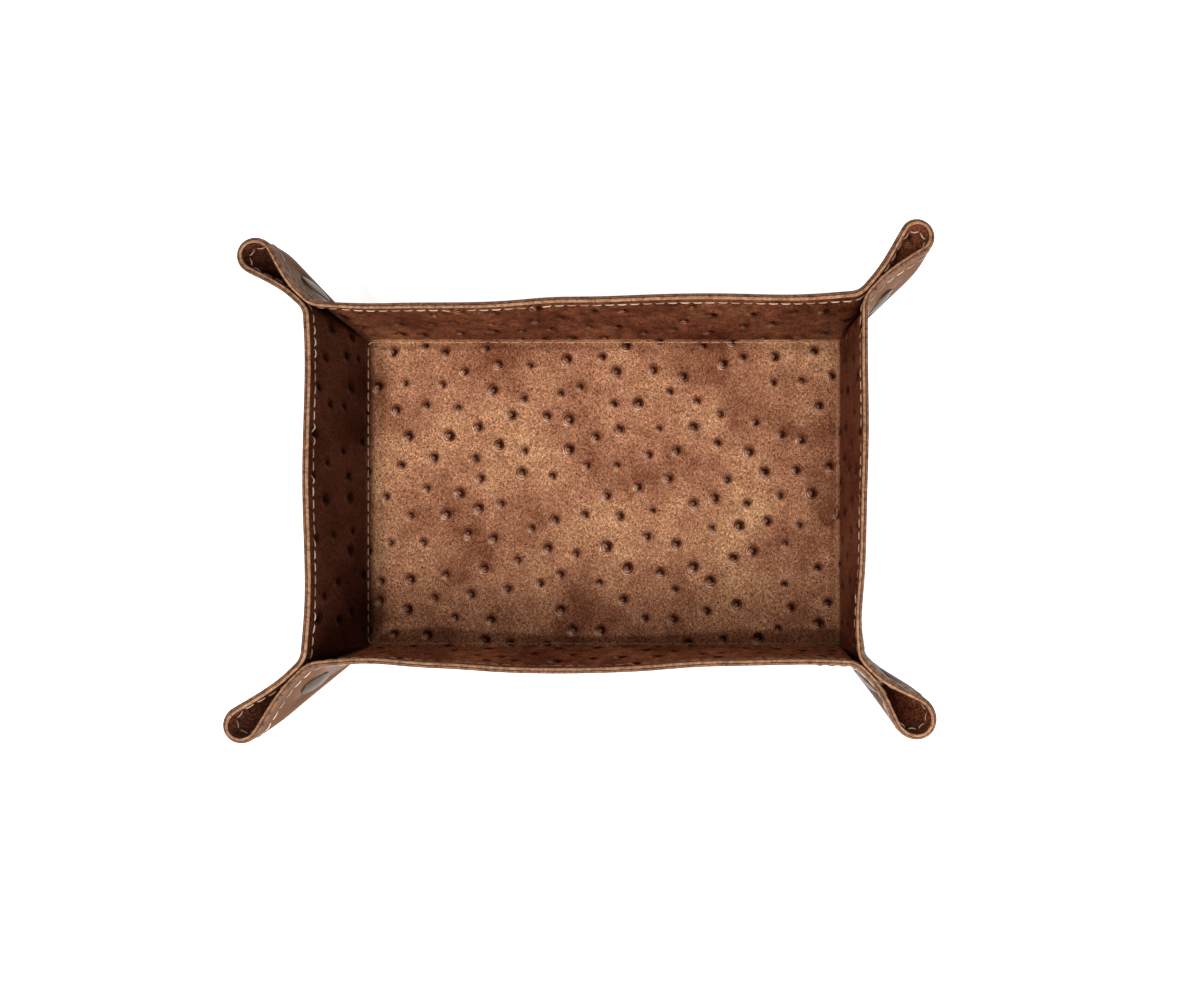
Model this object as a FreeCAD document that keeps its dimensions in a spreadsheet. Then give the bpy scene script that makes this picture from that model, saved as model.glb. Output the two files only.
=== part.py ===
import FreeCAD, Part
import math
import os
import re
import Sketcher
from FreeCAD import Placement, Rotation, Vector

# A leather valet tray. Two leathers, glued back to back, make one flat rectangular sheet.
# Its four walls fold up along creases around a stiffened floor, and each corner of the
# sheet is pinched into a loop that points out along the diagonal and is held by a snap.
# The frame has its origin under the middle of the floor, +X along the length, +Z up.
# Each leather is cut at its creases into panels, so that the walls and corners can fold.

DIMENSIONS = {
    # the tray with its corners snapped, over the outer faces of the walls
    "tray_length": 219,
    "tray_width": 145,
    "wall_height": 41,
    # the two leathers and the crease at the foot of a wall, its radius at the glue line
    "outer_thick": 1.15,
    "lining_thick": 1.15,
    "crease_radius": 4,
    # the board between the leathers, and the seams
    "board_thick": 1,
    "board_clearance": 0.55,
    "seam_clearance": 0.9,
    "thread_width": 0.8,
    "thread_height": 0.45,
    "rim_seam_inset": 3.5,
    "rim_seam_stop": 1,
    # where the walls turn out into a corner
    "patch_clearance": 1,
    "foot_clearance": 0.85,
    "neck_clearance": 0.15,
    "foot_bend": 0.35,
    "foot_flare": 1.2,
    "foot_run": 0.9,
    "rim_bend": 6.85,
    "loop_slope": 1.25,
    # the gap between a short wing and its wall, where the fold's loop of pieces is open
    "open_seam": 0.25,
    # how much less than the wall's height each corner reaches out, and how far under the
    # edge of the snap's cap its loop starts to open: the more, the wider the loop
    "tuck_front_left": 4.5,
    "tuck_front_right": 6,
    "tuck_back_left": 7.5,
    "tuck_back_right": 5,
    "lap_front_left": 0.4,
    "lap_front_right": 2.3,
    "lap_back_left": 1.4,
    "lap_back_right": -0.2,
    # the snaps
    "snap_out": 8,
    "snap_drop": 12.5,
    "snap_play": 0.1,
    "seat_depth": 0.2,
    "cap_radius": 6.2,
    "cap_edge": 0.6,
    "cap_rise": 1.5,
    "cap_round": 0.4,
    "post_radius": 1.6,
    "clinch_flange": 0.8,
    "clinch_thick": 0.4,
    "socket_wall": 1.9,
    "socket_height": 1.95,
    "socket_floor": 0.45,
    "spring_gap": 0.35,
    "stud_radius": 5,
    "stud_flange": 0.35,
    "stud_wall": 0.95,
    "eyelet_radius": 4.6,
    "eyelet_thick": 0.6,
    "eyelet_tube": 1.5,
    "tube_wall": 0.6,
    "roll_width": 0.4,
    "roll_height": 0.35,
}


def flare_start(corner):
    """Where a corner's loop starts to open at the rim, so that the snap's cap lies flat."""
    at_snap = f"snap_out + cap_radius - lap_{corner}"
    return f"foot_flare + ({at_snap} - foot_flare) * rim_growth"


def loop_width(corner):
    """The loop's width over the outer leather, made of the length left past its start."""
    left = f"reach_{corner} - outer_thick - flare_{corner}"
    return f"2 * (({left}) / (1 + loop_slope) + outer_thick)"


# What fits another piece takes its size from it and a clearance. Distances into the floor
# and out along a corner are from the glue line of the wall.
FITTED = {
    "seam_inset": "crease_radius + seam_clearance + thread_width / 2",
    "board_inset": "seam_inset + thread_width / 2 + board_clearance + lining_thick",
    "corner_patch": "crease_radius - patch_clearance",
    "foot_level": "outer_thick + crease_radius + foot_clearance",
    "foot_half_neck": "lining_thick + neck_clearance",
    "foot_turn": "outer_thick + foot_bend",
    "foot_reach": "foot_flare + foot_run + foot_half_neck",
    "rim_turn": "outer_thick + rim_bend",
    "reach_front_left": "wall_height - tuck_front_left",
    "reach_front_right": "wall_height - tuck_front_right",
    "reach_back_left": "wall_height - tuck_back_left",
    "reach_back_right": "wall_height - tuck_back_right",
    # the gap between the linings holds a socket and the flange of a stud
    "snap_gap": "socket_height + stud_flange + snap_play",
    "snap_level": "wall_height - snap_drop",
    "snap_half_neck": "snap_gap / 2 + lining_thick",
    "neck_slope": "(snap_half_neck - foot_half_neck) / (snap_level - foot_level)",
    "rim_half_neck": "foot_half_neck + neck_slope * (wall_height - foot_level)",
    # a corner widens in proportion from the foot through the level of the snap to the rim
    "rim_growth": "(wall_height - foot_level) / (snap_level - foot_level)",
    "flare_front_left": flare_start("front_left"),
    "flare_front_right": flare_start("front_right"),
    "flare_back_left": flare_start("back_left"),
    "flare_back_right": flare_start("back_right"),
    "loop_front_left": loop_width("front_left"),
    "loop_front_right": loop_width("front_right"),
    "loop_back_left": loop_width("back_left"),
    "loop_back_right": loop_width("back_right"),
    "clinch_radius": "post_radius + clinch_flange",
    "eyelet_hole": "eyelet_tube - tube_wall",
    "eyelet_roll": "eyelet_tube + roll_width",
    "stud_bore": "eyelet_roll + snap_play",
    "stud_head": "stud_bore + stud_wall",
    "stud_rise": "socket_height - socket_floor - clinch_thick",
    "socket_bore": "stud_head + spring_gap",
    "socket_radius": "socket_bore + socket_wall",
}

# Each side: how far its frame is turned from +X, its own half size and the half size along it.
SIDES = {
    "right": (0, "length", "width"),
    "back": (90, "width", "length"),
    "left": (180, "length", "width"),
    "front": (-90, "width", "length"),
}

# Each corner: its signs along X and Y, and whether the snap's cap is on the long or short wing.
CORNERS = {
    "front_left": (-1, -1, "long"),
    "front_right": (1, -1, "long"),
    "back_left": (-1, 1, "long"),
    "back_right": (1, 1, "short"),
}

HALF = {
    "length": "(tray_length / 2 - outer_thick)",
    "width": "(tray_width / 2 - outer_thick)",
}

FOOT, RIM = 0, 1
OUT_OF_SHEET = 8  # how far a cutting tool runs past the leather

doc = FreeCAD.newDocument("valet_tray")
sheet = doc.addObject("Spreadsheet::Sheet", "Dimensions")
for row, (alias, value) in enumerate(DIMENSIONS.items(), 1):
    sheet.set(f"A{row}", alias)
    sheet.set(f"B{row}", str(value))
    sheet.setAlias(f"B{row}", alias)
doc.recompute()

nodes = []


def size(alias):
    """A size, in millimetres."""
    return float(worked_out(alias))


def half_size(which):
    """Half the length or the width, from the middle to a wall's glue line."""
    return size(f"tray_{which}") / 2 - size("outer_thick")


def corner_turn(corner):
    """The direction of a corner's diagonal, in degrees from +X."""
    sx, sy, _ = CORNERS[corner]
    return math.degrees(math.atan2(sy, sx))


def formula(text):
    """An expression with each size's name written out as cells of the sheet."""

    def cells(word):
        if word[0] in FITTED:
            return f"({formula(FITTED[word[0]])})"
        return f"Dimensions.{word[0]}" if word[0] in DIMENSIONS else word[0]

    return re.sub(r"[a-z_]+", cells, text)


def worked_out(text):
    """The value of an expression."""
    scratch = doc.getObject("Scratch") or doc.addObject("App::FeaturePython", "Scratch")
    return scratch.evalExpression(formula(text))


def bind(thing, **properties):
    for name, text in properties.items():
        thing.setExpression(name.replace("__", "."), formula(text))
    return thing


def node(thing, label):
    """Takes an object of the document as a sub-part of the tray."""
    thing.Label = label
    nodes.append(thing)
    return thing


def box(name, length, width, height, x="0", y="0", z="0"):
    """A box centred at x and y and standing on z."""
    made = doc.addObject("Part::Box", name)
    bind(made, Length=length, Width=width, Height=height)
    return bind(
        made,
        Placement__Base__x=f"({x}) - ({length}) / 2",
        Placement__Base__y=f"({y}) - ({width}) / 2",
        Placement__Base__z=z,
    )


def cut(name, base, tool):
    made = doc.addObject("Part::Cut", name)
    made.Base, made.Tool = base, tool
    return made


def fuse(name, shapes):
    made = doc.addObject("Part::MultiFuse", name)
    made.Shapes = shapes
    return made


def group(name, links):
    made = doc.addObject("Part::Compound", name)
    made.Links = links
    return made


def feature(name, shape, placement=None):
    made = doc.addObject("Part::Feature", name)
    made.Shape = shape
    if placement:
        made.Placement = placement
    return made


# The creases. A wall and the floor share each crease, half of it each.

LAYERS = {
    # layer: its inner and outer radius in the crease, and its two faces from the glue line
    "outer": ("crease_radius", "crease_radius + outer_thick", 0, "outer_thick"),
    "lining": ("crease_radius - lining_thick", "crease_radius", "-lining_thick", 0),
}


def crease(name, layer, across, along, start):
    """Half a crease in a side's frame, where x points out and the arc starts below its centre."""
    inner, outer, _, _ = LAYERS[layer]
    arcs = []
    for part, radius in (("Inside", inner), ("Outside", outer)):
        arc = doc.addObject("Part::Cylinder", name + part)
        bind(arc, Radius=radius, Height=f"2 * ({along} - crease_radius)")
        arc.Angle = 45
        down_to_out = Rotation(Vector(0, 0, -1), Vector(1, 0, 0), Vector(0, -1, 0), "XYZ")
        arc.Placement.Rotation = down_to_out * Rotation(Vector(0, 0, 1), start)
        bind(
            arc,
            Placement__Base__x=f"{across} - crease_radius",
            Placement__Base__y=f"{along} - crease_radius",
            Placement__Base__z="outer_thick + crease_radius",
        )
        arcs.append(arc)
    return cut(name, arcs[1], arcs[0])


def on_side(thing, side):
    """Turns what was made in a side's frame to its side."""
    thing.Placement = Placement(Vector(), Rotation(Vector(0, 0, 1), SIDES[side][0]))
    return thing


# The floor: outer leather, board, lining and the seam that holds the board in place.


def floor_leather(layer, height, thick):
    """The flat of the floor with the lower half of each crease, and a patch in each corner."""
    flat = [f"2 * ({HALF[way]} - crease_radius)" for way in ("length", "width")]
    shapes = [box(f"{layer}Flat", *flat, thick, z=height)]
    for side, (_, across, along) in SIDES.items():
        half_crease = crease(f"{layer}Crease_{side}", layer, HALF[across], HALF[along], 0)
        shapes.append(on_side(half_crease, side))
    for corner, (sx, sy, _) in CORNERS.items():
        patch = doc.addObject("Part::Cylinder", f"{layer}Patch_{corner}")
        patch.Angle = 90
        patch.Placement.Rotation = Rotation(Vector(0, 0, 1), corner_turn(corner) - 45)
        bind(
            patch,
            Radius="corner_patch",
            Height=thick,
            Placement__Base__x=f"{sx} * ({HALF['length']} - crease_radius)",
            Placement__Base__y=f"{sy} * ({HALF['width']} - crease_radius)",
            Placement__Base__z=height,
        )
        shapes.append(patch)
    return shapes


def seam_ring(name, height):
    """A rectangle of thread around the floor."""
    outside, inside = [
        box(
            f"{name}{part}",
            *[f"2 * ({HALF[way]} - seam_inset {sign} thread_width / 2)" for way in HALF],
            "thread_height",
            z=height,
        )
        for part, sign in (("Outside", "+"), ("Inside", "-"))
    ]
    return cut(name, outside, inside)


def make_floor():
    bobbin = seam_ring("BobbinThread", "0")
    needle = seam_ring("NeedleThread", "outer_thick + lining_thick")
    node(group("BaseSeam", [needle, bobbin]), "base_seam_thread")

    under = fuse("OuterFlats", floor_leather("outer", "0", "outer_thick"))
    node(cut("OuterFloor", under, bobbin), "outer_floor")

    board = [f"2 * ({HALF[way]} - board_inset)" for way in HALF]
    node(box("Board", *board, "board_thick", z="outer_thick"), "base_stiffener")

    raised = box(
        "LiningRaised",
        *[f"{run} + 2 * lining_thick" for run in board],
        "board_thick + lining_thick",
        z="outer_thick",
    )
    over = floor_leather("lining", "outer_thick", "lining_thick")
    whole = fuse("LiningFlats", over + [raised])
    space = box("BoardSpace", *board, "board_thick", z="outer_thick")
    node(cut("LiningFloor", whole, space), "lining_floor")


# A corner, in its own frame: x points out along the diagonal, y across it, and the origin is
# where the glue lines of its two walls would cross. The half with y > 0 is worked out, and
# the other half is its mirror image.


def turn_at(level):
    """Where a wall turns out: half the neck, the radius, and how far along the wall it starts."""
    where = ("foot", "rim")[level]
    half_neck, radius = size(f"{where}_half_neck"), size(f"{where}_turn")
    return half_neck, radius, half_neck * math.sqrt(2) + radius * math.tan(math.pi / 8)


def height_at(level):
    return size("wall_height" if level == RIM else "foot_level")


def turn_point(level, degrees, offset):
    """A point of the turn between wall and wing, 0 at the wing and 45 at the wall."""
    half_neck, radius, _ = turn_at(level)
    centre = Vector(radius * math.tan(math.pi / 8) - half_neck, half_neck + radius, 0)
    angle = math.radians(-90 - degrees)
    return centre + Vector(math.cos(angle), math.sin(angle), 0) * (radius - offset)


def loop_at(corner, level):
    """The loop's glue radius, its centre along the diagonal, and where the wing starts to flare."""
    if level == FOOT:
        radius = size("foot_half_neck")
        return radius, size("foot_reach") - radius, size("foot_flare")
    radius = size(f"loop_{corner}") / 2 - size("outer_thick")
    centre = size(f"reach_{corner}") - size("outer_thick") - radius
    return radius, centre, size(f"flare_{corner}")


def flare_angle(corner, level):
    """How far the flare leans out from the diagonal, in radians: it runs tangent to the loop."""
    half_neck = turn_at(level)[0]
    radius, centre, start = loop_at(corner, level)
    run = centre - start
    return math.asin(radius / math.hypot(run, half_neck)) - math.atan2(half_neck, run)


def loop_point(corner, level, share, offset):
    """A point of the loop, from 0 where it leaves the wing to 1 at its tip."""
    radius, centre, _ = loop_at(corner, level)
    angle = (math.pi / 2 + flare_angle(corner, level)) * (1 - share)
    return Vector(centre, 0, 0) + Vector(math.cos(angle), math.sin(angle), 0) * (radius + offset)


def flare_point(corner, level, offset):
    """The bend between neck and flare, mitred so that the leather keeps its thickness."""
    lean = flare_angle(corner, level)
    mitre = Vector(-math.sin(lean), 1 + math.cos(lean), 0) * (offset / (1 + math.cos(lean)))
    return Vector(loop_at(corner, level)[2], turn_at(level)[0], 0) + mitre


def path(points):
    """Edges through the points: a point alone ends a line, and a pair is an arc's middle and end."""
    edges, start = [], points[0]
    for step in points[1:]:
        if isinstance(step, tuple):
            middle, end = step
            edges.append(Part.Arc(start, middle, end).toShape())
        else:
            end = step
            edges.append(Part.LineSegment(start, end).toShape())
        start = end
    return edges


def backwards(points):
    """The same path from its far end."""
    ends = [step[1] if isinstance(step, tuple) else step for step in points]
    middles = [step[0] if isinstance(step, tuple) else None for step in points]
    steps = [ends[-1]]
    for k in range(len(points) - 1, 0, -1):
        steps.append((middles[k], ends[k - 1]) if middles[k] else ends[k - 1])
    return steps


def panel(outline, layer, mirrored):
    """A curved panel of one leather between foot and rim.

    outline(level, offset) gives its path at the foot or the rim, that far outside the glue line.
    """
    near, far = [
        0 if face == 0 else math.copysign(size(face.lstrip("-")), -1 if "-" in face else 1)
        for face in LAYERS[layer][2:]
    ]
    wires = []
    for level in (FOOT, RIM):
        there, back = outline(level, near), backwards(outline(level, far))
        edges = path(there + back + [there[0]])
        wire = Part.Wire(edges)
        wire.translate(Vector(0, 0, height_at(level)))
        wires.append(wire)
    shape = Part.makeLoft(wires, True, True)
    return shape.mirror(Vector(), Vector(0, 1, 0)) if mirrored else shape


def wall_end(level, offset):
    """The wall's half of the turn."""
    start, middle, end = [turn_point(level, degrees, offset) for degrees in (45, 33.75, 22.5)]
    return [start, (middle, end)]


def wing(corner, which):
    """The wing: the other half of the turn, the neck and the flare."""
    gap = size("open_seam") if which == "short" else 0

    def outline(level, offset):
        edge = 22.5 - math.degrees(gap / turn_at(level)[1])
        start, middle, neck = [
            turn_point(level, degrees, offset) for degrees in (edge, edge / 2, 0)
        ]
        flare = flare_point(corner, level, offset)
        return [start, (middle, neck), flare, loop_point(corner, level, 0, offset)]

    return outline


def loop(corner):
    """The loop, from one wing round its tip to the other."""

    def outline(level, offset):
        start, first, tip = [loop_point(corner, level, share, offset) for share in (0, 0.5, 1)]
        second, end = [Vector(p.x, -p.y, 0) for p in (first, start)]
        return [start, (first, tip), (second, end)]

    return outline


def corner_frame(corner):
    """The placement of a corner's frame in the tray."""
    sx, sy, _ = CORNERS[corner]
    crossing = Vector(sx * half_size("length"), sy * half_size("width"), 0)
    return Placement(crossing, Rotation(Vector(0, 0, 1), corner_turn(corner)))


def wing_sign(corner, which):
    """+1 if this wing is on the y > 0 side of its corner's frame."""
    sx, sy, _ = CORNERS[corner]
    return sx * sy if which == "long" else -sx * sy


# The walls, each in its side's frame: x points out, and the wall runs along y.


def wall_ends(layer, side):
    """The turned ends of a wall, at both of its corners."""
    _, across, along = SIDES[side]
    ends = []
    for sign in (1, -1):
        shape = panel(wall_end, layer, sign > 0)
        shape.Placement = Placement(
            Vector(half_size(across), sign * half_size(along), 0),
            Rotation(Vector(0, 0, 1), 45 * sign),
        )
        ends.append(shape)
    return ends


def wall_leather(layer, side):
    _, across, along = SIDES[side]
    near, far = LAYERS[layer][2:]
    foot, rim = [turn_at(level)[2] for level in (FOOT, RIM)]
    low = "(outer_thick + crease_radius)"
    # the flat's ends lean along the rulings that run from the foot of the corner to the rim
    slope = f"({rim} - {foot}) / (wall_height - foot_level)"
    start_low = f"({HALF[along]} - {foot} + (foot_level - {low}) * {slope})"
    start_high = f"({HALF[along]} - {rim})"
    flat = doc.addObject("Part::Wedge", f"{layer}Wall_{side}")
    flat.Placement.Rotation = Rotation(Vector(0, 1, 0), Vector(0, 0, 1), Vector(1, 0, 0), "XYZ")
    bind(
        flat,
        Xmin=f"-{start_low}",
        Xmax=start_low,
        Ymin=low,
        Ymax="wall_height",
        Zmin=str(near),
        Zmax=str(far),
        X2min=f"-{start_high}",
        X2max=start_high,
        Z2min=str(near),
        Z2max=str(far),
        Placement__Base__x=HALF[across],
    )
    ends = [
        feature(f"{layer}End_{side}_{k}", shape)
        for k, shape in enumerate(wall_ends(layer, side))
    ]
    half_crease = crease(f"{layer}Foot_{side}", layer, HALF[across], HALF[along], 45)
    whole = fuse(f"{layer}Whole_{side}", [flat, half_crease] + ends)
    node(on_side(whole, side), f"{layer}_wall_{side}")


def rim_seam(side):
    """The seam under a wall's rim, a line of thread on each face."""
    _, across, along = SIDES[side]
    run = turn_at(RIM)[2] + size("rim_seam_stop")
    lines = [
        box(
            f"RimThread_{side}_{name}",
            "thread_height",
            f"2 * ({HALF[along]} - {run})",
            "thread_width",
            x=f"{HALF[across]} {face} thread_height / 2",
            z="wall_height - rim_seam_inset - thread_width / 2",
        )
        for name, face in (("Needle", "- lining_thick -"), ("Bobbin", "+ outer_thick +"))
    ]
    node(on_side(group(f"RimSeam_{side}", lines), side), f"rim_seam_{side}")


# The snaps. Each is turned about the line through it, square to the diagonal.


def turned(name, profile, domed=False):
    """A round piece from its profile's (radius, height) corners, each an expression.

    A domed piece ends in an arc up to the axis, and its rim is rounded.
    """
    body = doc.addObject("PartDesign::Body", name)
    sketch = body.newObject("Sketcher::SketchObject", f"{name}Profile")
    upright = [f for f in body.Origin.OriginFeatures if f.Role == "XZ_Plane"]
    sketch.AttachmentSupport = (upright[0], [""])
    sketch.MapMode = "FlatFace"
    count = len(profile)
    rough = [Vector(*[float(worked_out(text)) for text in corner], 0) for corner in profile]
    dome = count - 2 if domed else None
    for k in range(count):
        start, end = rough[k], rough[(k + 1) % count]
        edge = dome_arc(start, end) if k == dome else Part.LineSegment(start, end)
        sketch.addGeometry(edge, False)
    if domed:
        sketch.addConstraint(Sketcher.Constraint("PointOnObject", dome, 3, -2))
    for k in range(count):
        sketch.addConstraint(Sketcher.Constraint("Coincident", k, 2, (k + 1) % count, 1))
    for k, corner in enumerate(profile):
        for kind, text, value in zip(("DistanceX", "DistanceY"), corner, rough[k]):
            held = sketch.addConstraint(Sketcher.Constraint(kind, k, 1, value))
            sketch.setExpression(f"Constraints[{held}]", formula(text))
    turn = body.newObject("PartDesign::Revolution", f"{name}Turn")
    turn.Profile = sketch
    turn.ReferenceAxis = (sketch, ["V_Axis"])
    turn.Angle = 360
    if domed:
        doc.recompute()
        rims = [
            f"Edge{k}"
            for k, edge in enumerate(turn.Shape.Edges, 1)
            if edge.BoundBox.XLength > 1.99 * rough[dome].x
            and abs(edge.CenterOfMass.z - rough[dome].y) < 0.001
        ]
        rounded = body.newObject("PartDesign::Fillet", f"{name}Round")
        rounded.Base = (turn, rims)
        bind(rounded, Radius="cap_round")
    return body


def dome_arc(rim, top):
    """An arc from the rim to the top, about a centre on the axis."""
    rise = top.y - rim.y
    radius = (rim.x ** 2 + rise ** 2) / (2 * rise)
    centre = Vector(0, top.y - radius, 0)
    circle = Part.Circle(centre, Vector(0, 0, 1), radius)
    return Part.ArcOfCircle(circle, math.atan2(rim.y - centre.y, rim.x), math.pi / 2)


CAP_UNDERSIDE = "(socket_floor + clinch_thick + lining_thick + outer_thick - seat_depth)"
TUBE_END = "(eyelet_thick + outer_thick + lining_thick - seat_depth + stud_flange)"

SNAP_PROFILES = {
    "cap": [
        ("0", "0"),
        ("clinch_radius", "0"),
        ("clinch_radius", "clinch_thick"),
        ("post_radius", "clinch_thick"),
        ("post_radius", CAP_UNDERSIDE),
        ("cap_radius", CAP_UNDERSIDE),
        ("cap_radius", f"{CAP_UNDERSIDE} + cap_edge"),
        ("0", f"{CAP_UNDERSIDE} + cap_rise"),
    ],
    "socket": [
        ("socket_bore", "0"),
        ("socket_radius", "0"),
        ("socket_radius", "socket_height"),
        ("post_radius", "socket_height"),
        ("post_radius", "socket_height - socket_floor"),
        ("socket_bore", "socket_height - socket_floor"),
    ],
    "stud": [
        ("eyelet_tube", "0"),
        ("stud_radius", "0"),
        ("stud_radius", "stud_flange"),
        ("stud_head", "stud_flange"),
        ("stud_head", "stud_flange + stud_rise"),
        ("stud_bore", "stud_flange + stud_rise"),
        ("stud_bore", "stud_flange"),
        ("eyelet_tube", "stud_flange"),
    ],
    "eyelet": [
        ("eyelet_hole", "0"),
        ("eyelet_radius", "0"),
        ("eyelet_radius", "eyelet_thick"),
        ("eyelet_tube", "eyelet_thick"),
        ("eyelet_tube", TUBE_END),
        ("eyelet_roll", TUBE_END),
        ("eyelet_roll", f"{TUBE_END} + roll_height"),
        ("eyelet_hole", f"{TUBE_END} + roll_height"),
    ],
}


def snap_levels():
    """How far each piece's own origin is from the diagonal, towards the cap."""
    lining = size("snap_gap") / 2
    under_eyelet = lining + size("lining_thick") + size("outer_thick") - size("seat_depth")
    return {
        "cap": lining - size("socket_floor") - size("clinch_thick"),
        "socket": lining - size("socket_height"),
        "stud": -lining,
        "eyelet": -under_eyelet - size("eyelet_thick"),
    }


def snap_centre():
    """The middle of a snap, in its corner's frame."""
    return Vector(size("snap_out"), 0, size("wall_height") - size("snap_drop"))


def make_snap(corner):
    cap_way = wing_sign(corner, CORNERS[corner][2])
    for piece, level in snap_levels().items():
        body = turned(f"Snap_{piece}_{corner}", SNAP_PROFILES[piece], piece == "cap")
        across = Vector(0, cap_way, 0)
        seat = Placement(snap_centre() + across * level, Rotation(Vector(0, 0, 1), across))
        body.Placement = corner_frame(corner) * seat
        node(body, f"snap_{piece}_{corner}")


def drilled(shape, layer, corner, sign):
    """A corner's leather with the hole for its snap's post, flat under the snap's pieces."""
    has_cap = sign == wing_sign(corner, CORNERS[corner][2])
    lining = size("snap_gap") / 2
    outside = lining + size("lining_thick") + size("outer_thick") - size("seat_depth")
    hole = size("post_radius" if has_cap else "eyelet_tube")
    over = size("cap_radius" if has_cap else "eyelet_radius")
    under = size("socket_radius" if has_cap else "stud_radius")
    tools = [(hole, -lining, OUT_OF_SHEET + lining), (over, outside, OUT_OF_SHEET)]
    if layer == "lining":
        tools.append((under, -lining, 2 * lining))
    way = Vector(0, sign, 0)
    for radius, start, run in tools:
        shape = shape.cut(Part.makeCylinder(radius, run, snap_centre() + way * start, way))
    return shape


def make_corner(corner):
    frame = corner_frame(corner)
    for layer in LAYERS:
        for which in ("long", "short"):
            sign = wing_sign(corner, which)
            shape = panel(wing(corner, which), layer, sign < 0)
            name = f"{layer}_wing_{corner}_{which}"
            node(feature(name, drilled(shape, layer, corner, sign), frame), name)
        shape = panel(loop(corner), layer, False)
        for sign in (1, -1):
            shape = drilled(shape, layer, corner, sign)
        name = f"{layer}_loop_{corner}"
        node(feature(name, shape, frame), name)
    make_snap(corner)


def check_and_write():
    """Stops at anything that failed or isn't a valid solid, and then writes each sub-part."""
    doc.recompute()
    failed = [o.Name for o in doc.Objects if {"Invalid", "Error"} & set(o.State)]
    if failed:
        raise SystemExit(f"not made: {failed}")
    os.makedirs("parts", exist_ok=True)
    for thing in nodes:
        shape = thing.Shape
        if shape.isNull() or not shape.isValid() or not shape.Solids:
            raise SystemExit(f"{thing.Label} isn't a valid solid")
        shape.exportStep(f"parts/{thing.Label}.step")
        print(f"{thing.Label}: {shape.Volume:.0f} mm3 in {len(shape.Solids)} solid(s)")
    print(len(nodes), "nodes")


make_floor()
for side in SIDES:
    for layer in LAYERS:
        wall_leather(layer, side)
    rim_seam(side)
for corner in CORNERS:
    make_corner(corner)
check_and_write()
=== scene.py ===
# %% [markdown]
# # A leather valet tray
#
# A valet tray is one flat sheet of two leathers, glued back to back. Its walls are folded up
# and each corner is pinched into a loop that a snap holds. This lesson dresses the packed
# CAD model of such a tray: the metal snaps and the board stay, and the leathers and seams,
# which are soft, are built again as meshes.
#
# Everything is worked out in millimetres and turned to metres when a mesh is made.

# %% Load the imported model
import math

import bpy
import numpy as np
from mathutils import Matrix


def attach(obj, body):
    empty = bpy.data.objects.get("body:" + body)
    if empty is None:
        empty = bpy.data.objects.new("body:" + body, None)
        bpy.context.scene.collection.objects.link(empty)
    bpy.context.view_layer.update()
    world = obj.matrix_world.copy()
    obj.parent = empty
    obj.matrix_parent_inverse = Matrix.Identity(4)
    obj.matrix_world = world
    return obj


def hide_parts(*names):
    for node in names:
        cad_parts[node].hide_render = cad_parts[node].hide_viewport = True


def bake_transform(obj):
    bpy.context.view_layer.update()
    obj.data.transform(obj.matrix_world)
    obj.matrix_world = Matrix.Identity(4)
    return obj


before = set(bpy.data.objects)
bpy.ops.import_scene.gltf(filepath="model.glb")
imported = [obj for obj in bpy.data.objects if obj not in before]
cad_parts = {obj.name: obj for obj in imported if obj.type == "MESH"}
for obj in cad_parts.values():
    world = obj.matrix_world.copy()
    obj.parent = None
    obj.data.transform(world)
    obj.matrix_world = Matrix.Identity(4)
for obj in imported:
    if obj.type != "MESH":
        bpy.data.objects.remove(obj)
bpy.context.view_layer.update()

# %% [markdown]
# ## The camera
#
# The photograph looks straight down from about a quarter of a metre above the rim, so the
# walls lean outwards in the picture. The lens is wide and the camera isn't over the middle
# of the tray: the far walls show more of their inner face. A small shift frames the tray.

# %% Camera
MM = 0.001

camera = bpy.data.objects.new("camera", bpy.data.cameras.new("camera"))
bpy.context.scene.collection.objects.link(camera)
camera.location = (48.8 * MM, -32.3 * MM, 299 * MM)
camera.data.sensor_width = 36
camera.data.lens = 20.33
camera.data.shift_x = -0.1002
camera.data.shift_y = 0.053
camera.data.clip_start = 0.01
bpy.context.scene.camera = camera
print("camera height over the ground:", round(camera.location.z / MM), "mm")

# %% [markdown]
# ## The sheet and its creases
#
# On the real tray one sheet of leather runs from the floor, round a crease, up the wall and
# out into the corner loops. So it is one band of columns here too: each column runs from the
# floor's edge up to the rim, and the columns go once round the tray. The band is the glue
# line between the two leathers, and each leather is laid on its own side of it. One band
# means that pits, grain and stitches run on from piece to piece, and that the pieces meet.

# %% Sizes of the sheet, in millimetres
LEATHER = 1.15
RIM_HEIGHT = 41.0
FLOOR_INSET = 4.0  # from the glue line at the rim to the floor's edge
CREASE = 1.8
HALF_LENGTH, HALF_WIDTH = 219 / 2 - LEATHER, 145 / 2 - LEATHER
FLOOR_HALF = np.array([HALF_LENGTH - FLOOR_INSET, HALF_WIDTH - FLOOR_INSET])
GLUE_GAP = 0.02

# the crease is tight, so the wall leans out a little to reach its rim
lean = 0.0
for _ in range(9):
    rise = RIM_HEIGHT - LEATHER - CREASE * (1 - math.sin(lean))
    lean = math.atan((FLOOR_INSET - CREASE * math.cos(lean)) / rise)
CREASE_RUN = CREASE * (math.pi / 2 - lean)
WALL_RUN = CREASE_RUN + rise / math.cos(lean)
print("a wall leans out by", round(math.degrees(lean), 2), "degrees")

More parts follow.
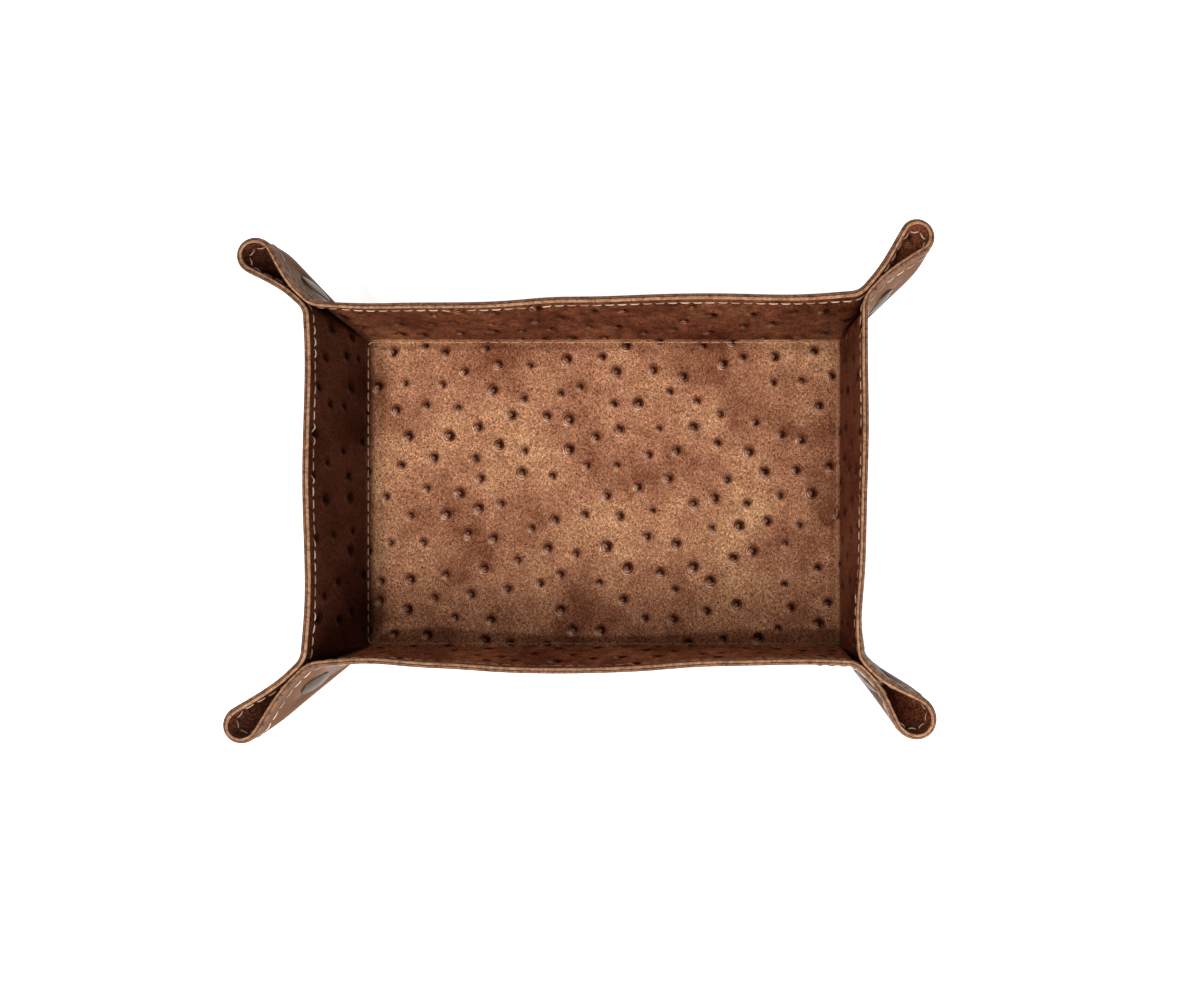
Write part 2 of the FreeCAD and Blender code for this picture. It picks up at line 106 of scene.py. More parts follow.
# rows up the wall: from the third last on they round the cut edge
EDGE_ROWS = 3
ROWS = np.append(np.linspace(0, WALL_RUN - 0.35, 70), [WALL_RUN - 0.12, WALL_RUN])
FACE_AT_RIM = np.array([LEATHER, LEATHER - 0.04, LEATHER - 0.16])
GLUE_AT_RIM = np.array([GLUE_GAP, 0.06, 0.14])
print("sheet:", np.round(2 * (FLOOR_HALF + WALL_RUN), 1), "mm, rows up a wall:", len(ROWS))


# %% Height and inset of a row
def smooth(low, high, x):
    """0 below low, 1 above high, and an even ease between them."""
    t = np.clip((x - low) / (high - low), 0, 1)
    return t * t * (3 - 2 * t)


turned = np.minimum(ROWS, CREASE_RUN) / CREASE
up_wall = np.maximum(ROWS - CREASE_RUN, 0)
ROW_Z = LEATHER + CREASE * (1 - np.cos(turned)) + up_wall * math.cos(lean)
ROW_INSET = FLOOR_INSET - CREASE * np.sin(turned) - up_wall * math.sin(lean)
print("first and last height:", ROW_Z[0], round(ROW_Z[-1], 2))

# %% [markdown]
# ## The corners
#
# A pinched corner of leather can't stretch, so it takes the shape of a cone whose point is
# the floor's corner: at every height it is the same outline, only larger. Each half of the
# outline turns away from the wall, runs straight along the neck where the snap grips, and
# opens into a loop like a drop. Near the rim nothing grips it any more, so the neck closes
# there and the drop starts early.

# %% Outline of a corner
TURN, NECK, FLARE, LOOP = 12, 12, 36, 22  # steps along each part of half an outline
HALF_STEPS = TURN + NECK + FLARE + LOOP
WING_STEPS = TURN + NECK + FLARE
FOOT_Z = 6.0  # below it the outline shrinks to a point
# half the neck's width, and the bend out of the wall, each at the foot and at the rim
HALF_NECK = (1.3, 2.93)
BEND = (1.5, 8.0)
# loop radius, loop centre and flare start at the foot
LOOP_FOOT, CENTRE_FOOT, FLARE_FOOT = 1.3, 2.1, 1.2
# just below the rim the loops have grown by this much more
SWELL, SWELLS_FROM, SWELLS_TO, SWELL_ENDS = 0.07, 25, 36, 4.5
FREE_FROM = 31  # from here up the neck closes, and the drop starts early
CLOSES_BY, FREE_FLARE, FREE_LEAN = 1.46, 5.0, 0.3
#            signs, loop radius, loop centre and flare start at the rim, on the glue line
CORNERS = {
    "front_right": (1, -1, 7.6, 26.6, 17.84),
    "back_right": (1, 1, 5.83, 29.5, 21.73),
    "back_left": (-1, 1, 6.35, 26.0, 19.24),
    "front_left": (-1, -1, 6.3, 30.2, 20.8),
}


def half_outline(corner, z):
    """Half a corner at height z, from the wall to the tip: x out along the diagonal, y >= 0."""
    _, _, loop_rim, centre_rim, flare_rim = CORNERS[corner]
    low = min((z - LEATHER) / (FOOT_Z - LEATHER), 1)
    up = max((z - FOOT_Z) / (RIM_HEIGHT - FOOT_Z), 0)
    ending = min((RIM_HEIGHT - z) / SWELL_ENDS, 1)
    steep = up + SWELL * smooth(SWELLS_FROM, SWELLS_TO, z) * ending
    free = smooth(FREE_FROM, RIM_HEIGHT, z)

    def grown(foot, rim, share):
        return low * (foot + (rim - foot) * share)

    neck = grown(*HALF_NECK, up) - CLOSES_BY * free
    bend = grown(*BEND, up)
    radius = grown(LOOP_FOOT, loop_rim, steep)
    centre = grown(CENTRE_FOOT, centre_rim, steep)
    flare = grown(FLARE_FOOT, flare_rim, up) * (1 - free) + FREE_FLARE * free
    run = centre - flare
    lean = math.asin(radius / math.hypot(run, neck)) - math.atan2(neck, run) if low > 0 else 0
    lean *= 1 + FREE_LEAN * free

    start = bend * math.tan(math.pi / 8) - neck
    angle = np.radians(-90 - np.linspace(45, 0, TURN + 1))
    turn = np.stack([start + bend * np.cos(angle), neck + bend + bend * np.sin(angle)], 1)
    neck_x = np.linspace(start, flare, NECK + 1)[1:]
    straight = np.stack([neck_x, np.full(NECK, neck)], 1)
    alpha = np.linspace(math.pi / 2 + lean, 0, LOOP + 1)
    loop = np.stack([centre + radius * np.cos(alpha), radius * np.sin(alpha)], 1)
    t = np.linspace(0, 1, FLARE + 1)[1:-1, None]
    a, b = np.array([flare, neck]), loop[0]
    reach = np.linalg.norm(b - a)
    leave = np.array([1.0, 0.0]) * reach
    arrive = np.array([math.cos(lean), math.sin(lean)]) * reach
    curve = (
        (2 * t**3 - 3 * t**2 + 1) * a
        + (t**3 - 2 * t**2 + t) * leave
        + (3 * t**2 - 2 * t**3) * b
        + (t**3 - t**2) * arrive
    )
    return np.concatenate([turn, straight, curve, loop])


print("tip of the front left loop:", np.round(half_outline("front_left", RIM_HEIGHT)[-1], 1))

# %% [markdown]
# ## One band round the tray
#
# The columns go anticlockwise from the front wall. At each row the two corner outlines are
# placed first and the wall is stretched between them, which gives the walls their leaning
# ends. The surface's own normals then say where each leather's faces lie.

# %% The band
SIDES = ["front", "right", "back", "left"]
OUTWARD = {"front": (0, -1), "right": (1, 0), "back": (0, 1), "left": (-1, 0)}
ALONG = {"front": (1, 0), "right": (0, 1), "back": (-1, 0), "left": (0, -1)}
WALL_STEPS = {"front": 346, "right": 224, "back": 346, "left": 224}
corner_after = dict(zip(SIDES, CORNERS))

wall_start, corner_start, count = {}, {}, 0
for side in SIDES:
    wall_start[side] = count
    corner_start[corner_after[side]] = count + WALL_STEPS[side]
    count += WALL_STEPS[side] + 2 * HALF_STEPS
COLUMNS = count


def corner_axes(corner):
    """Where a corner's glue lines cross, the diagonal's direction and the one across it."""
    sx, sy = CORNERS[corner][:2]
    out = np.array([sx, sy]) / math.sqrt(2)
    return np.array([sx * HALF_LENGTH, sy * HALF_WIDTH]), out, np.array([-out[1], out[0]])


def band():
    """The glue line: positions by row and column."""
    made = np.zeros((len(ROWS), COLUMNS, 3))
    made[:, :, 2] = ROW_Z[:, None]
    for row, (z, inset) in enumerate(zip(ROW_Z, ROW_INSET)):
        for corner, start in corner_start.items():
            crossing, out, across = corner_axes(corner)
            half = half_outline(corner, z)
            half[:, 0] -= inset * math.sqrt(2)
            there = crossing + half[:, :1] * out - half[:, 1:] * across
            back = crossing + half[:, :1] * out + half[:, 1:] * across
            whole = np.concatenate([there, back[-2::-1]])
            made[row, (start + np.arange(len(whole))) % COLUMNS, :2] = whole
        for side in SIDES:
            a, n = wall_start[side], WALL_STEPS[side]
            ends = made[row, a, :2], made[row, (a + n) % COLUMNS, :2]
            share = np.linspace(0, 1, n + 1)[:, None]
            made[row, (a + np.arange(n + 1)) % COLUMNS, :2] = ends[0] + (ends[1] - ends[0]) * share
    return made


glue_line = band()
print("band:", glue_line.shape[1], "columns of", glue_line.shape[0])

# %% [markdown]
# The lowest part of a corner shrinks to a point, where a normal has no meaning. There the
# normal is eased over to the one that the crease would have along the diagonal.


# %% Normals, pointing out of the tray
def unit(v):
    return v / np.maximum(np.linalg.norm(v, axis=-1, keepdims=True), 1e-12)


def band_normals(points):
    around = np.roll(points, -1, 1) - np.roll(points, 1, 1)
    up = np.gradient(points, axis=0)
    own = unit(np.cross(around, up))
    grown = smooth(0.0, 0.9, (ROW_Z - LEATHER) / (FOOT_Z - LEATHER))
    for corner, start in corner_start.items():
        out = corner_axes(corner)[1]
        at = (start + np.arange(2 * HALF_STEPS + 1)) % COLUMNS
        crease = np.stack([np.sin(turned) * out[0], np.sin(turned) * out[1], -np.cos(turned)], 1)
        mix = own[:, at] * grown[:, None, None] + crease[:, None] * (1 - grown)[:, None, None]
        own[:, at] = unit(mix)
    return own


normals = band_normals(glue_line)
print("normals made, lowest z:", round(float(normals[..., 2].min()), 3))

# %% [markdown]
# ## Where each point lies on the flat sheet
#
# The emboss and the grain were pressed into the leather while it was flat. So every point of
# the band gets its place on the flat sheet, and all patterns are worked out there. The same
# two numbers become the UV map that the materials read.


# %% Places on the flat sheet
def flat_places():
    share = (ROWS / WALL_RUN)[:, None]
    flat = np.zeros((len(ROWS), COLUMNS, 2))
    rim = glue_line[-1, :, :2]
    for k, side in enumerate(SIDES):
        outward, along = np.array(OUTWARD[side]), np.array(ALONG[side])
        half_along = abs(FLOOR_HALF @ along)
        half_out = abs(FLOOR_HALF @ outward)
        first = wall_start[side] - HALF_STEPS
        at = (first + np.arange(2 * HALF_STEPS + WALL_STEPS[side] + 1)) % COLUMNS
        foot_v = np.clip(glue_line[0, at, :2] @ along, -half_along, half_along)
        rim_v = rim[at] @ along
        run = np.append(0, np.cumsum(np.linalg.norm(np.diff(rim[at], axis=0), axis=1)))
        for part, sign in ((slice(0, HALF_STEPS + 1), -1), (slice(-HALF_STEPS - 1, None), 1)):
            piece = run[part] - run[part][0]
            far = piece / piece[-1] if sign > 0 else 1 - piece / piece[-1]
            wall_end = rim_v[part][0 if sign > 0 else -1]
            rim_v[part] = wall_end + (sign * (half_along + WALL_RUN) - wall_end) * far
        v = foot_v + (rim_v - foot_v) * share
        u = np.broadcast_to(half_out + ROWS[:, None], v.shape)
        flat[:, at] = u[..., None] * outward + v[..., None] * along
    return flat


flat_band = flat_places()
print("flat sheet reaches:", np.round(np.abs(flat_band).max((0, 1)), 1), "mm")

# %% [markdown]
# ## The quill emboss
#
# Ostrich leather has a raised bump with a hole wherever a quill grew. Here a hot plate has
# pressed that pattern into cowhide: uneven rows, about 14 mm apart, each a low mound with a
# deep hole that sits off its middle. The holes are several tenths deep and show from the
# side, so they are in the mesh and not only in a bump map. Their positions are a lattice
# shaken by a seeded random draw.

# %% Positions of the quills
QUILL_STEP = 14.0
ALONG_ROW, ROW_APART = 1.02 * QUILL_STEP, 0.86 * QUILL_STEP
CLEAR = 8.4  # no two quills are nearer than this
SHIFT = 3.4  # the most that the draw moves one, along each axis
LATTICE_TURN = math.radians(8)
FROM_RIM = 2
LEFT_OUT = 0.04  # this share of the lattice stays empty
draw = np.random.default_rng(41)


def quill_positions():
    reach = FLOOR_HALF + WALL_RUN
    places = []
    for row in range(-14, 15):
        for step in range(-14, 15):
            x, y = (step + 0.5 * (row % 2)) * ALONG_ROW, row * ROW_APART
            c, s = math.cos(LATTICE_TURN), math.sin(LATTICE_TURN)
            spot = np.array([x * c - y * s, x * s + y * c])
            spot += draw.uniform(-SHIFT, SHIFT, 2)
            clear = all(np.linalg.norm(spot - other) > CLEAR for other in places)
            if (np.abs(spot) < reach - FROM_RIM).all() and draw.random() > LEFT_OUT and clear:
                places.append(spot)
    return np.array(places)


quills = quill_positions()
quill_size = draw.uniform(0.72, 1.25, len(quills))
quill_lean = np.radians(draw.uniform(20, 75, len(quills)))
quill_depth = draw.uniform(0.7, 1.0, len(quills))
print("quills on the sheet:", len(quills))

# %% Emboss at places on the flat sheet
LIP, LIP_AT, LIP_WIDE = 0.30, 2.5, 0.9  # a raised lip: height, distance and width
HOLE_DEEP, HOLE_WIDE, HOLE_OFF, HOLE_LONG = 0.95, 1.3, 0.55, 1.12
SWELLING, SWELLING_WIDE = 0.12, 3.6
REACH = 8  # a quill's relief has ended by here


def emboss(flat):
    """Heights at flat places, and each place as seen from its quill: x, y, nearness."""
    lower, upper = flat[..., 0].ravel(), flat[..., 1].ravel()
    height = np.zeros(lower.size)
    seen = np.tile([9.0, 9.0, 0.0], (lower.size, 1))
    order = np.argsort(lower)
    lower_sorted = lower[order]
    for spot, big, lean, deep in zip(quills, quill_size, quill_lean, quill_depth):
        a, b = np.searchsorted(lower_sorted, [spot[0] - REACH, spot[0] + REACH])
        near = order[a:b]
        near = near[np.abs(upper[near] - spot[1]) < REACH]
        dx, dy = lower[near] - spot[0], upper[near] - spot[1]
        mound = np.hypot(dx, dy) / big
        along = dx * math.cos(lean) + dy * math.sin(lean)
        side = dy * math.cos(lean) - dx * math.sin(lean)
        hole = np.hypot((along - HOLE_OFF * big) / HOLE_LONG, side) / big
        lip = LIP * np.exp(-(((mound - LIP_AT) / LIP_WIDE) ** 2))
        height[near] += deep * (lip - HOLE_DEEP * np.exp(-((hole / HOLE_WIDE) ** 4)))
        height[near] += SWELLING * np.exp(-((mound / SWELLING_WIDE) ** 2))
        close = mound * big < CLEAR / 2
        seen[near[close], :2] = np.stack([along, side], 1)[close] / big
        seen[near[close], 2] = deep * (1 - smooth(3.1, 4.0, (mound * big)[close]))
    return height.reshape(flat.shape[:-1]), seen.reshape(flat.shape[:-1] + (3,))


# %% [markdown]
# ## The hand-bent outline
#
# No two walls of a hand-made tray stand the same: they bow a little where they were pulled.
# The photograph's rim gives how far each part of it strays from a straight line. A smooth
# field through those few points moves everything at the rim, less below it, and nothing at
# the floor or at the snaps, which stay where the CAD has them.

# %% How the rim strays, in millimetres: x, y, then the move
STRAYS = np.array([
    (-109.5, 50, 1.0, 0), (-109.5, 0, 0.1, 0), (-109.5, -45, 1.0, 0),
    (109.5, 50, -1.0, 0), (109.5, 20, -0.65, 0), (109.5, -10, -1.4, 0),
    (109.5, -38, -2.4, 0), (109.5, -52, -3.4, 0),
    (-87, 72.5, 0, -3.6), (-68, 72.5, 0, -3.4), (-52, 72.5, 0, -3.3), (-29, 72.5, 0, -2.5),
    (-14, 72.5, 0, -1.3), (1.5, 72.5, 0, -1.0), (25, 72.5, 0, -0.2), (51, 72.5, 0, 0.2),
    (82, 72.5, 0, -0.2),
    (-83, -72.5, 0, 2.5), (-68, -72.5, 0, 1.35), (-48, -72.5, 0, 0.2), (-37, -72.5, 0, -0.6),
    (-10, -72.5, 0, -1.35), (25, -72.5, 0, -0.2), (40, -72.5, 0, 1.0), (63, -72.5, 0, 1.7),
    (86, -72.5, 0, 2.1),
    (-111, 74, 0, -2.5), (111, 74, -1.0, 1.8), (111, -74, -2.2, 1.2), (-111, -74, -1.2, 0.6),
    (-132, 95, -0.65, -2.7), (134, 97, -1.9, 2.4), (133, -96, -0.4, -0.8), (-134, -97, -3.15, -0.9),
])
SNAP_OUT = 8.0  # from the glue lines' crossing
EASE = 15.0
STILL, MOVES = 10, 30  # distances from a snap where the move begins and is whole
FIXED_BELOW, OVER_SNAP = 5, 32  # heights: of the foot, and of what is free over a snap


def spread(a, b):
    return np.sqrt(((a[:, None] - b[None]) ** 2).sum(-1) + EASE**2)


stray_pull = np.linalg.solve(spread(STRAYS[:, :2], STRAYS[:, :2]), STRAYS[:, 2:])
snap_places = [corner_axes(c)[0] + SNAP_OUT * corner_axes(c)[1] for c in CORNERS]


def stray(points):
    """Points moved as the hand-bent rim is."""
    plan, z = points[..., :2].reshape(-1, 2), points[..., 2].reshape(-1)
    move = spread(plan, STRAYS[:, :2]) @ stray_pull
    near_snap = np.min([np.linalg.norm(plan - s, axis=1) for s in snap_places], 0)
    away = smooth(STILL, MOVES, near_snap)
    risen = np.clip((z - FIXED_BELOW) / (RIM_HEIGHT - FIXED_BELOW), 0, 1.02) ** 1.5
    share = away * risen + (1 - away) * smooth(OVER_SNAP, RIM_HEIGHT, z)
    moved = points.reshape(-1, 3).copy()
    moved[:, :2] += move * share[:, None]
    return moved.reshape(points.shape)


print("largest stray:", round(float(np.abs(STRAYS[:, 2:]).max()), 1), "mm")

# %% [markdown]
# ## The two leathers' faces
#
# The lining's inner face carries the emboss and a shallow channel under the rim seam, where
# the thread pulls the leather in. In the tight turns most of the emboss is pressed flat.
# Inside a neck the two linings nearly touch, so a point is never let past the middle of the
# pinch.

# %% Faces of the leathers
RIM_SEAM = WALL_RUN - 3.5
CHANNEL_WIDE, LINING_CHANNEL, OUTER_CHANNEL = 0.8, 0.16, 0.12
PRESSED = 0.9  # the share of the emboss that a tight turn presses flat
APART = 0.03  # from a face in a pinch to the pinch's middle
row_face = np.append(np.full(len(ROWS) - EDGE_ROWS, LEATHER), FACE_AT_RIM)
row_glue = np.append(np.full(len(ROWS) - EDGE_ROWS, GLUE_GAP), GLUE_AT_RIM)
quill_height, quill_seen = emboss(flat_band)

# how much of the emboss is left in the tight corners
loose = np.ones(COLUMNS)
for start in corner_start.values():
    steps = np.arange(2 * HALF_STEPS + 1)
    from_wall = np.minimum(steps, 2 * HALF_STEPS - steps)
    tight = smooth(4, TURN, from_wall) * (1 - smooth(WING_STEPS - 8, HALF_STEPS, from_wall))
    loose[(start + steps) % COLUMNS] = 1 - PRESSED * tight
seam_channel = np.exp(-(((ROWS - RIM_SEAM) / CHANNEL_WIDE) ** 2))
at_edge = 1 - smooth(WALL_RUN - 1.6, WALL_RUN - 0.4, ROWS)
lining_relief = quill_height * loose * at_edge[:, None] - LINING_CHANNEL * seam_channel[:, None]


def kept_apart(points):
    """The faces in a pinch, kept on their own side of its middle."""
    for corner, start in corner_start.items():
        crossing, _, across = corner_axes(corner)
        for sign, first in ((-1, start), (1, start + HALF_STEPS + 1)):
            at = (first + np.arange(HALF_STEPS)) % COLUMNS
            y = (points[:, at, :2] - crossing) @ across * sign
            points[:, at, :2] += (np.maximum(y, APART) - y)[..., None] * across * sign
    return points


inner_face = glue_line - (row_face[:, None] + lining_relief)[..., None] * normals
lining_face = stray(kept_apart(inner_face))
lining_back = stray(kept_apart(glue_line - row_glue[:, None, None] * normals))
outer_back = stray(glue_line + row_glue[:, None, None] * normals)
outer_face = stray(glue_line + (row_face - OUTER_CHANNEL * seam_channel)[:, None, None] * normals)
print("lining face spans", *[np.round(end(lining_face, (0, 1))) for end in (np.min, np.max)])

# %% [markdown]
# ## Colours and one node helper
#
# Colours are picked as sRGB hex values, as a paint chart gives them, but Blender's shaders
# count in linear light. One function turns them over. Another adds a node, sets it up,
# links it and gives back the output that the next node needs, which keeps each material
# short enough to read. A Map Range or Mix node has several sockets of one name, so those are
# told apart by number, and the numbers get names.


# %% Colour and node helpers
def linear(hex_colour):
    """An sRGB hex colour as linear RGBA."""
    channels = [int(hex_colour[k : k + 2], 16) / 255 for k in (1, 3, 5)]
    return tuple(c / 12.92 if c <= 0.04045 else ((c + 0.055) / 1.055) ** 2.4 for c in channels) + (1,)


# the sockets of a Map Range node, and those of a Mix node for colours and for values
FROM_LOW, FROM_HIGH, TO_LOW, TO_HIGH = 1, 2, 3, 4
SHARE, FIRST, SECOND, FIRST_VALUE, SECOND_VALUE = 0, 6, 7, 2, 3
COLOURS = {"out": 2, "data_type": "RGBA"}
TIMES = COLOURS | {"blend_type": "MULTIPLY"}


def add(tree, kind, inputs=None, out=0, **settings):
    """Adds a node with its settings, its inputs as values or links, and gives one output."""
    made = tree.nodes.new("ShaderNode" + kind)
    for name, value in settings.items():
        setattr(made, name, value)
    for socket, value in (inputs or {}).items():
        if isinstance(value, bpy.types.NodeSocket):
            tree.links.new(value, made.inputs[socket])
        else:
            made.inputs[socket].default_value = value
    return made.outputs[out]


def per_mm(size):
    """A texture scale that gives features of this many millimetres, on places in metres."""
    return 1 / (size * MM)


def new_material(name, **shader):
    """A material with a Principled shader, whose sockets are set by name."""
    material = bpy.data.materials.new(name)
    material.use_nodes = True
    surface = material.node_tree.nodes["Principled BSDF"]
    for socket, value in shader.items():
        surface.inputs[socket.replace("_", " ")].default_value = value
    return material, material.node_tree, surface


print("a tan in linear light:", [round(c, 3) for c in linear("#AB7657")[:3]])

# %% [markdown]
# ## Waxed, quill-embossed cowhide: the lining
#
# The lining is cowhide, drum dyed, embossed and dressed with wax. Four things reach the
# eye. Where the hide was stretched the wax pulls up pale and golden, and between such clouds
# it is pinkish brown. The grain is a net of wrinkles, some 0.6 mm apart, whose valleys hold
# darker wax, and round a quill they run in rings. Each quill has a nearly black hole, dark
# from its wax and from painted shade, a dark halo of wax and painted shade round it, a
# painted highlight on its lit flank and a smaller painted highlight on the hole's lit inner
# wall. And the walls are painted darker than the floor, as painted shade: the left wall
# most, then the back and the right wall, and the front wall least.
#
# Clouds and grain are procedural textures on the flat sheet. For the marks of a quill the
# mesh carries an attribute, made with the emboss: where a point lies as seen from its quill,
# and how near it is. So the colours always sit on the relief. Leather's shine has little of
# the lamp's white in it under wax, so the specular level is low and its tint warm.

# %% Lining leather: clouds and streaks
lining_leather, tree, surface = new_material(
    "waxed_quill_embossed_cowhide", IOR=1.5, Specular_IOR_Level=0.15, Specular_Tint=linear("#D9A47C")
)
place = add(tree, "UVMap", uv_map="flat")
clouds = add(tree, "TexNoise", {"Vector": place, "Scale": per_mm(42), "Detail": 3.0, "Roughness": 0.6})
hide = add(tree, "ValToRGB", {"Fac": clouds})
ramp = hide.node.color_ramp
ramp.elements[0].position, ramp.elements[0].color = 0.36, linear("#8E5B43")
ramp.elements[1].position, ramp.elements[1].color = 0.66, linear("#E5B387")
ramp.elements.new(0.5).color = linear("#CA9271")
pulled = {"Vector": place, "Scale": per_mm(9), "Detail": 5.0, "Roughness": 0.65, "Distortion": 0.6}
streaks = add(tree, "TexNoise", pulled)
share = {"Value": streaks, FROM_LOW: 0.35, FROM_HIGH: 0.68, TO_LOW: 0.0, TO_HIGH: 0.5}
streaks = add(tree, "MapRange", share)
streaked = add(tree, "Mix", {SHARE: streaks, FIRST: hide, SECOND: linear("#9B684B")}, **COLOURS)
print("the clouds' colours sit at", [round(e.position, 2) for e in ramp.elements])

# %% Lining leather: places seen from their quill, a little shaken
SHAKE = 1.8  # mm, and half of it on average
quill = add(tree, "Attribute", out="Vector", attribute_name="quill_place")
near = add(tree, "SeparateXYZ", {"Vector": quill}, out="Z")
fine = {"Vector": place, "Scale": per_mm(1.9), "Detail": 3.0, "Roughness": 0.6}
wobble = add(tree, "TexNoise", fine, out="Color")
wobble = add(tree, "VectorMath", {0: wobble, 1: (SHAKE, SHAKE, 0.0)}, operation="MULTIPLY")
around = add(tree, "VectorMath", {0: quill, 1: wobble}, operation="ADD")
around = add(tree, "VectorMath", {0: around, 1: (1.0, 1.0, 0.0)}, operation="MULTIPLY")


def from_spot(x, y, full, none, most=1.0):
    """The distance to a spot by the quill, and a share that fades between two distances."""
    spot = (SHAKE / 2 + x, SHAKE / 2 + y, 0.0)
    gap = add(tree, "VectorMath", {0: around, 1: spot}, out="Value", operation="DISTANCE")
    ends = {"Value": gap, FROM_LOW: full, FROM_HIGH: none, TO_LOW: most, TO_HIGH: 0.0}
    share = add(tree, "MapRange", ends, interpolation_type="SMOOTHSTEP")
    return gap, add(tree, "Math", {0: share, 1: near}, operation="MULTIPLY")


from_hole, fade = from_spot(0.3, 0, 2.3, 3.9)
patches = add(tree, "TexNoise", {"Vector": place, "Scale": per_mm(3.0), "Detail": 1.0})
patches = add(tree, "MapRange", {"Value": patches, FROM_LOW: 0.4, FROM_HIGH: 0.6, TO_LOW: 0.15, TO_HIGH: 1.0})
fade = add(tree, "Math", {0: fade, 1: patches}, operation="MULTIPLY")
# painted light round each quill: painted highlights on the lit flank and on the hole's lit inner wall, and a
# halo of dark wax and painted shade
lit_flank = from_spot(-1.5, 0, 0.3, 2.1, 0.85)[1]
hole = from_spot(0.6, 0, 1.0, 1.6, 1.25)[1]
lit_inner_wall = from_spot(-0.25, 0.3, 0.4, 1.1, 0.9)[1]
halo_wax_and_shade = from_spot(0.7, 0.1, 1.4, 3.5, 1.15)[1]
print("nodes up to the quills' marks:", len(tree.nodes))

# %% Lining leather: wrinkled grain that runs in rings round a quill
WRINKLE, RING_STEP = 0.62, 0.95  # mm
turned_place = add(tree, "Mapping", {"Vector": place, "Rotation": (0, 0, 0.6), "Scale": (1.0, 0.8, 1.0)})
creased = {"Scale": per_mm(WRINKLE), "Detail": 2.0, "Roughness": 0.55, "Distortion": 1.3}
valleys = add(tree, "TexNoise", {"Vector": turned_place, **creased}, noise_dimensions="2D")
valleys = add(tree, "MapRange", {"Value": valleys, FROM_LOW: 0.38, FROM_HIGH: 0.6, TO_LOW: 1.0, TO_HIGH: 0.0})
wave = add(tree, "Math", {0: from_hole, 1: 2 * math.pi / RING_STEP}, operation="MULTIPLY")
wave = add(tree, "Math", {0: wave}, operation="COSINE")
rings = add(tree, "MapRange", {"Value": wave, FROM_LOW: -0.3, FROM_HIGH: 0.9, TO_LOW: 0.0, TO_HIGH: 1.25})
grain = add(tree, "Mix", {SHARE: fade, FIRST_VALUE: valleys, SECOND_VALUE: rings}, data_type="FLOAT")
ridge_and_valley = {FIRST: (1.66, 1.61, 1.56, 1), SECOND: (0.36, 0.23, 0.18, 1)}
grained = add(tree, "Mix", {SHARE: grain, **ridge_and_valley}, **COLOURS)
print("a wrinkle's texture scale:", round(per_mm(WRINKLE)))

# %% Lining leather: painted shade on the walls
parts = add(tree, "SeparateXYZ", {"Vector": place}).node.outputs


def beyond(axis, edge, shift, soft):
    """How far a place lies up a wall, from 0 at the floor's edge to 1 above it."""
    moved = add(tree, "Math", {0: parts[axis], 1: -shift * MM}, operation="ADD")
    away = add(tree, "Math", {0: moved}, operation="ABSOLUTE")
    ends = {"Value": away, FROM_LOW: (edge - 0.5) * MM, FROM_HIGH: (edge + soft) * MM}
    return add(tree, "MapRange", ends, interpolation_type="SMOOTHSTEP")


def either(axis, low, high):
    """One colour on the negative side of an axis and another on the positive side."""
    side = add(tree, "Math", {0: parts[axis], 1: 0.0}, operation="GREATER_THAN")
    return add(tree, "Mix", {SHARE: side, FIRST: low, SECOND: high}, **COLOURS)


# painted shade on the walls, as darker colour: the left wall darkest, then the back wall, the right wall, and
# the front wall least; the long walls' shade is mottled at random
end_wall_shade = either("X", (0.14, 0.097, 0.10, 1), (0.34, 0.225, 0.21, 1))
side_wall_shade = either("Y", (0.80, 0.68, 0.64, 1), (0.27, 0.195, 0.175, 1))
blotch = add(tree, "TexNoise", {"Vector": place, "Scale": per_mm(5), "Detail": 4.0, "Roughness": 0.7})
blotch = add(tree, "MapRange", {"Value": blotch, FROM_LOW: 0.36, FROM_HIGH: 0.64, TO_LOW: 0.5, TO_HIGH: 1.5})
side_wall_shade = add(tree, "Mix", {SHARE: 1.0, FIRST: side_wall_shade, SECOND: blotch}, **TIMES)
# where each wall's painted shade begins; on the left it reaches some 5 mm onto the floor as a painted shadow
# strip
up_side = beyond("Y", FLOOR_HALF[1] - 0.5, 0, 3)
up_end = beyond("X", FLOOR_HALF[0] - 2.5, 2.0, 4)
# tone: white on the floor, and the walls' painted shade where they rise
tone = add(tree, "Mix", {SHARE: up_side, FIRST: (1, 1, 1, 1), SECOND: side_wall_shade}, **COLOURS)
tone = add(tree, "Mix", {SHARE: up_end, FIRST: tone, SECOND: end_wall_shade}, **COLOURS)

# %% Lining leather: colour, relief and shine
coats = streaked
# a halo of dark wax and painted shade, and a painted highlight on the lit flank
for share, colour in ((halo_wax_and_shade, "#6E3F2E"), (lit_flank, "#E2BC9C")):
    coats = add(tree, "Mix", {SHARE: share, FIRST: coats, SECOND: linear(colour)}, **COLOURS)
coats = add(tree, "Mix", {SHARE: 1.0, FIRST: coats, SECOND: grained}, **TIMES)
# the hole: dark wax and painted shade, nearly black; then a painted highlight on its lit inner wall
for share, colour in ((hole, "#260E06"), (lit_inner_wall, "#A8735A")):
    coats = add(tree, "Mix", {SHARE: share, FIRST: coats, SECOND: linear(colour)}, **COLOURS)
